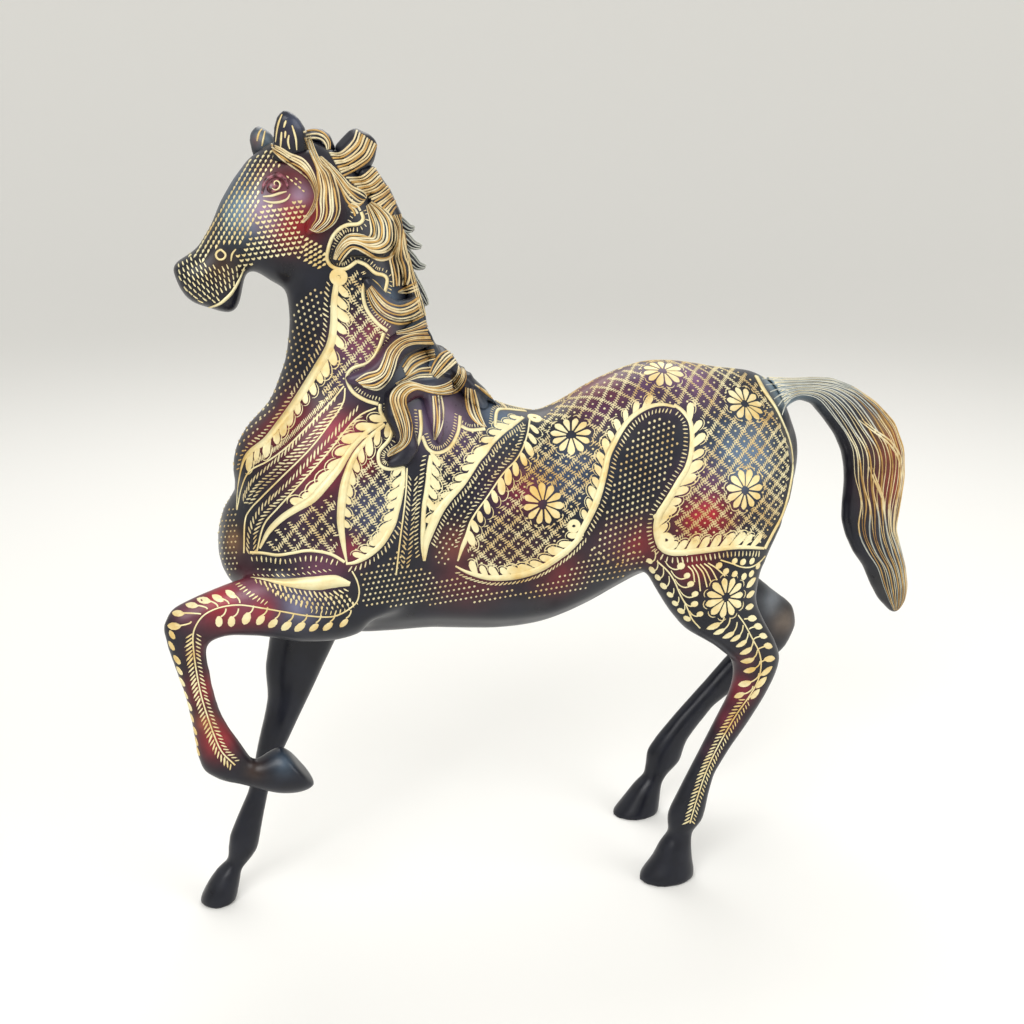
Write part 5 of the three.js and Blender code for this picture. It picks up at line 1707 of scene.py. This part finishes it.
tailShape = {  # rear edge x and z, front edge x and z, half width, in mm, from the root to the tip
    "rows": [(138, 378, 149, 337, 15), (146, 375, 153, 347, 11), (151, 373, 157, 352, 9.5),
        (163, 372, 166, 356, 8.5), (178, 372, 177, 352, 9.5), (192, 371, 188, 340, 10.5),
        (210, 364, 199, 326, 12), (230, 351, 206, 312, 13.5), (247, 335, 209, 299, 14),
        (257, 315, 210, 287, 14), (260, 292, 209.5, 272, 13.5), (258.5, 268, 210, 259, 13),
        (257, 250, 214.5, 246, 12.5), (262, 234, 222, 232, 12), (268, 218, 232, 219, 11),
        (272, 200, 240, 203, 9.5), (271, 187, 248, 190, 7.5), (266.5, 179.5, 257, 181, 4.5)],
    "strands": 22,
    "finishes": [(0, 0.34, ("silver", "gilt", "silver")), (0.34, 0.68, ("gilt", "shade", "gilt")),
                 (0.68, 1, ("silver", "gilt", "shade"))],  # from and to a share, every three strands
    "reach": (112, 118, 132, 138, 136, 124, 112),  # degrees round from the rear edge to the bare front
    "sway": [(7, 1.7, 0.03), (3, 4.3, 0.06), (1.6, 3.3, 0.37)],  # degrees, waves, shift by strand
    "slip": 0.07,
    "girth": 40,  # mm, where a strand has its full radius
    "castFrom": 2.6,
    "radius": 0.6,
    # lines on the dock, in px
    "fan": [[(762, 379), (772, 379.5), (784, 381)], [(766, 385), (776, 384), (787, 386)],
            [(770, 392), (779, 389), (789, 391)], [(774, 399), (782, 394), (791, 394.5)],
            [(778, 406), (784, 398.5), (791, 397)], [(782, 415), (785.5, 405), (790, 400)]],
    # strands that cross over the others, from and to degrees and shares of the length
    "crossing": [(88, 40, 0.3, 0.62), (82, 34, 0.32, 0.6), (114, 84, 0.46, 0.64), (108, 78, 0.47, 0.66)],
}


def tailPath(rows, side, turns, breadths):  # turns: degrees round the tail at each row, or None
    casts = []
    for (rx, rz, fx, fz, half), turn in zip(rows, turns):
        if turn is None:
            casts.append((None, None))
            continue
        cosine, sine = math.cos(math.radians(turn)), math.sin(math.radians(turn))
        out = Vector(((rx - fx) / 2 * cosine, -side * half * sine, (rz - fz) / 2 * cosine))
        start = spot((rx + fx) / 2, 0, (rz + fz) / 2) + out * tailShape["castFrom"] * mm
        casts.append(tailTree.ray_cast(start, -out.normalized())[:2])
    return pathFrom(casts, breadths=breadths)


def tailRuns():  # every strand's runs along the tail, by finish
    rows = smoothPixels(tailShape["rows"], 2.0)
    found = {"silver": [], "gilt": [], "shade": []}
    shares = [i / (len(rows) - 1) for i in range(len(rows))]
    girths = [(math.dist(row[:2], row[2:4]) / 2 + row[4]) / tailShape["girth"] for row in rows]
    for k in range(tailShape["strands"]):
        turns, breadths = [], []
        for s, girth in zip(shares, girths):
            sway = sum(turn * math.sin(2 * math.pi * (waves * s + shift * k))
                       for turn, waves, shift in tailShape["sway"])
            base = np.interp(s, np.linspace(0, 1, 7), tailShape["reach"]) * k / (tailShape["strands"] - 1)
            turns.append(base + sway * min(1, 5 * s, 5 - 5 * s) * (k > 0))
            breadths.append(girth * (0.85 + 0.35 * math.sin(11 * s + 2.1 * k)))
        slip = tailShape["slip"] * math.sin(2.4 * k)
        for low, high, finishes in tailShape["finishes"]:
            first, last = low + slip * (low > 0), high + slip * (high < 1)
            run = [turn if first <= s <= last + 0.02 else None for s, turn in zip(shares, turns)]
            for side in ((1, -1) if k else (1,)):
                found[finishes[k % 3]] += tailPath(rows, side, run, breadths)
    for first, last, start, end in tailShape["crossing"]:
        turns, breadths = [], []
        for s in shares:
            t = (s - start) / (end - start)
            turns.append(first + (last - first) * (3 * t * t - 2 * t ** 3) if 0 <= t <= 1 else None)
            breadths.append(0.3 + 1.2 * math.sin(math.pi * min(1, max(0, t))))
        for side in (1, -1):
            found["gilt"] += tailPath(rows, side, turns, breadths)
    return found


def gildTail():
    finishes = {"silver": silverStrand, "gilt": giltStrand, "shade": shadeStrand}
    for name, runs in tailRuns().items():
        keepPiece("tail_strands_" + name, [strands(runs, tailShape["radius"])], finishes[name], "gilt_hair")
    dock = treeOf(skinMesh, hairMeshes["tail"])
    paths = allPaths(tailShape["fan"], breadth=(0.6, 1, 1, 0.7), target=dock)
    keepPiece("tail_root_strands", [strands(paths, tailShape["radius"])], silverStrand, "gilt_hair")
    print("tail gilded")


gildTail()


faceCut = {
    "upperLid": [(262, 194), (264.5, 184), (270, 177), (278, 175), (285.5, 180), (288, 189)],
    "lowerLids": [[(263, 196.5), (271, 196), (279, 193.5), (286.5, 191.5)],
        [(263.5, 200.5), (271, 202.5), (280, 202), (287, 199), (290, 194)]],
    # a pale stroke on the eyeball: a painted highlight
    "highlightStroke": [(272, 188), (275, 190), (279, 188), (280, 183.5), (277, 180.5), (274, 182), (274.5, 185)],
    "nostril": [(221, 249.5), (217, 252), (216, 256), (219, 259.5), (224, 258.5), (225.5, 254), (221, 249.5)],
    "nostrilFold": [(236, 249), (232, 254), (231, 261)],
    "mouth": [(244.5, 267), (239, 280), (232, 292), (225, 299.5), (218, 304.5), (209, 307.5)],
    "eye": (274.6, 186, 38),
}


def engraveFace():
    balls = stamped(pixelMarks([faceCut["eye"]]), "eyeball", lift=2.0)
    ballTree = treeOf(balls)
    # a stroke of pale cut brass on each eyeball is a painted highlight
    near = pixelPaths(faceCut["highlightStroke"], False, breadth=(0.5, 1.0, 1.1, 0.9, 0.5), target=ballTree)
    highlightStroke = near + [mirrored(path, ballTree) for path in near]
    keepPiece("eye_balls", [balls], eyeFinish, "enamelled_body")
    keepPiece("eye_highlights", [lines(highlightStroke, width=0.9, height=0.6)])
    upper = pixelPaths(faceCut["upperLid"], breadth=(0.5, 1.0, 1.2, 1.1, 0.5))
    lower = allPaths(faceCut["lowerLids"], breadth=(0.5, 1.0, 1.1, 0.5))
    keepPiece("eye_upper_lids", [lines(upper, width=2.2, height=2.2)], eyeFinish, "enamelled_body")
    keepPiece("eye_lower_lids", [lines(lower, width=1.4, height=1.6)], tonedBrass)
    rings = pixelPaths(faceCut["nostril"]) + pixelPaths(faceCut["nostrilFold"], breadth=(0.5, 1.0, 0.5))
    keepPiece("nostril_rings", [lines(rings, width=1.2, height=1.2)])
    mouth = pixelPaths(faceCut["mouth"], breadth=(0.4, 1.0, 1.1, 0.6))
    keepPiece("mouth_line", [lines(mouth, width=2.0, height=1.0)])
    print("face cut")


engraveFace()


# The skin goes back into its castings along their brazed joints, each a shell with an inner wall

shellWall = 1.2  # mm
joints = {  # a point and a normal of each brazed joint, and where its cut reaches: low and high x, y and z
    "middle": ((0, 0, 0), (0, 1, 0), (-400, 400, -30, 30, 196, 600)),
    "withers": ((-246, 0, 322), (-0.256, 0, 0.967), (-400, -10, -100, 100, 280, 420)),
    "throat": ((-203, 0, 444), (-0.984, 0, 0.18), (-400, -60, -60, 60, 395, 460)),
    "poll": ((-203, 0, 444), (-0.625, 0, 0.781), (-400, -60, -60, 60, 430, 600)),
    "nearStifle": ((0, 0, 200), (0, 0, 1), (0, 400, -100, 0, 180, 220)),
    "nearHock": ((0, 0, 152), (0, 0, 1), (0, 400, -100, 0, 130, 170)),
    "offStifle": ((0, 0, 203), (0, 0, 1), (-100, 400, 0, 100, 180, 220)),
    "offHock": ((0, 0, 133), (0, 0, 1), (0, 400, 0, 100, 115, 150)),
    "offElbow": ((0, 0, 203), (0, 0, 1), (-400, -100, 0, 100, 180, 220)),
    "offKnee": ((0, 0, 148), (0, 0, 1), (-400, -100, 0, 100, 130, 165)),
    "nearKnee": ((0, 0, 214), (0, 0, 1), (-400, -255, -100, -20, 195, 232)),
    "shoulder": ((-240, -31, 0), (-0.95, -0.316, 0), (-300, -180, -120, -31, 203, 290)),
}


def castingOf(x, y, z):  # which casting a face of the skin belongs to, by its middle in mm
    past = {}  # the joints whose normal's side it is on
    for name, ((px, py, pz), (nx, ny, nz), _) in joints.items():
        past[name] = nx * (x - px) + ny * (y - py) + nz * (z - pz) > 0
    left = y < 0
    side = "left_shell" if left else "right_shell"
    if z > 400 and past["throat"] and past["poll"]:
        return "head_" + side
    if x < -10 and past["withers"]:
        return "neck_" + side
    if x < -255 and y < -20 and not past["nearKnee"] or x < -100 and left and z < 200:
        return "near_fore_cannon_and_hoof"
    if y < -31 and 203 < z < 290 and past["shoulder"]:
        return "near_forearm"
    if x > 0 and left and not past["nearStifle"]:
        return "near_gaskin" if past["nearHock"] else "near_hind_cannon_and_hoof"
    if x > 0 and not left and not past["offStifle"]:
        return "off_gaskin" if past["offHock"] else "off_hind_cannon_and_hoof"
    if x < -100 and not left and not past["offElbow"]:
        return "off_forearm" if past["offKnee"] else "off_fore_cannon_and_hoof"
    return "trunk_" + side


def splitSkin():
    work = bmesh.new()
    work.from_mesh(skinMesh)
    for point, normal, (x0, x1, y0, y1, z0, z1) in joints.values():
        near = []
        for face in work.faces:
            x, y, z = face.calc_center_median() / mm - drawnShift
            if x0 < x < x1 and y0 < y < y1 and z0 < z < z1:
                near.append(face)
        parts = dict.fromkeys(part for face in near for part in list(face.edges) + list(face.verts))
        geom = near + list(parts)
        bmesh.ops.bisect_plane(work, geom=geom, dist=1e-7, plane_co=spot(*point), plane_no=normal)
    work.verts.index_update()
    colour = work.verts.layers.float_color["airbrushAndSheen"]
    work.normal_update()
    groups = {}
    for face in work.faces:
        groups.setdefault(castingOf(*(face.calc_center_median() / mm - drawnShift)), []).append(face)
    for name, faces in groups.items():
        corners = dict.fromkeys(vert for face in faces for vert in face.verts)
        used = {vert: i for i, vert in enumerate(corners)}
        count = len(used)
        outer = [[used[vert] for vert in face.verts] for face in faces]
        walls = outer + [[i + count for i in reversed(ring)] for ring in outer]
        inside = set(faces)
        for face in faces:
            for loop in face.loops:
                if sum(other in inside for other in loop.edge.link_faces) == 1:
                    a, b = used[loop.vert], used[loop.link_loop_next.vert]
                    walls.append([b, a, a + count, b + count])
        mesh = bpy.data.meshes.new(name + "_skin")
        verts = [vert.co for vert in used] + [vert.co - vert.normal * shellWall * mm for vert in used]
        mesh.from_pydata(verts, [], walls)
        layer = mesh.color_attributes.new("airbrushAndSheen", "FLOAT_COLOR", "POINT")
        layer.data.foreach_set("color", np.ravel([vert[colour] for vert in used] * 2))
        mesh.polygons.foreach_set("use_smooth", [True] * len(walls))
        normals = [vert.normal.copy() for vert in used]
        mesh.normals_split_custom_set_from_vertices(normals + [-normal for normal in normals])
        mesh.materials.append(lacquer)
        slot = "black_enamel" if name.startswith("off_") else "enamelled_body"
        pieces.append((addObject(name + "_skin", mesh), slot, [name]))
    work.free()
    print("skin split:", {name: len(faces) for name, faces in groups.items()})


splitSkin()


def finishPieces():
    for piece, slot, nodes in pieces:
        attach(piece, "root")
        if nodes:
            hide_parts(*nodes)
    for name in ("tail_stud", "tail_washer", "tail_nut"):
        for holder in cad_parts[name].material_slots:
            holder.material = turnedBrass
    for shape in list(motifs.values()) + [skin]:
        bpy.data.objects.remove(shape)
    total = 0
    for piece, _, _ in pieces:
        piece.data.calc_loop_triangles()
        total += len(piece.data.loop_triangles)
    print("figure finished:", len(pieces), "pieces,", total, "triangles")


finishPieces()
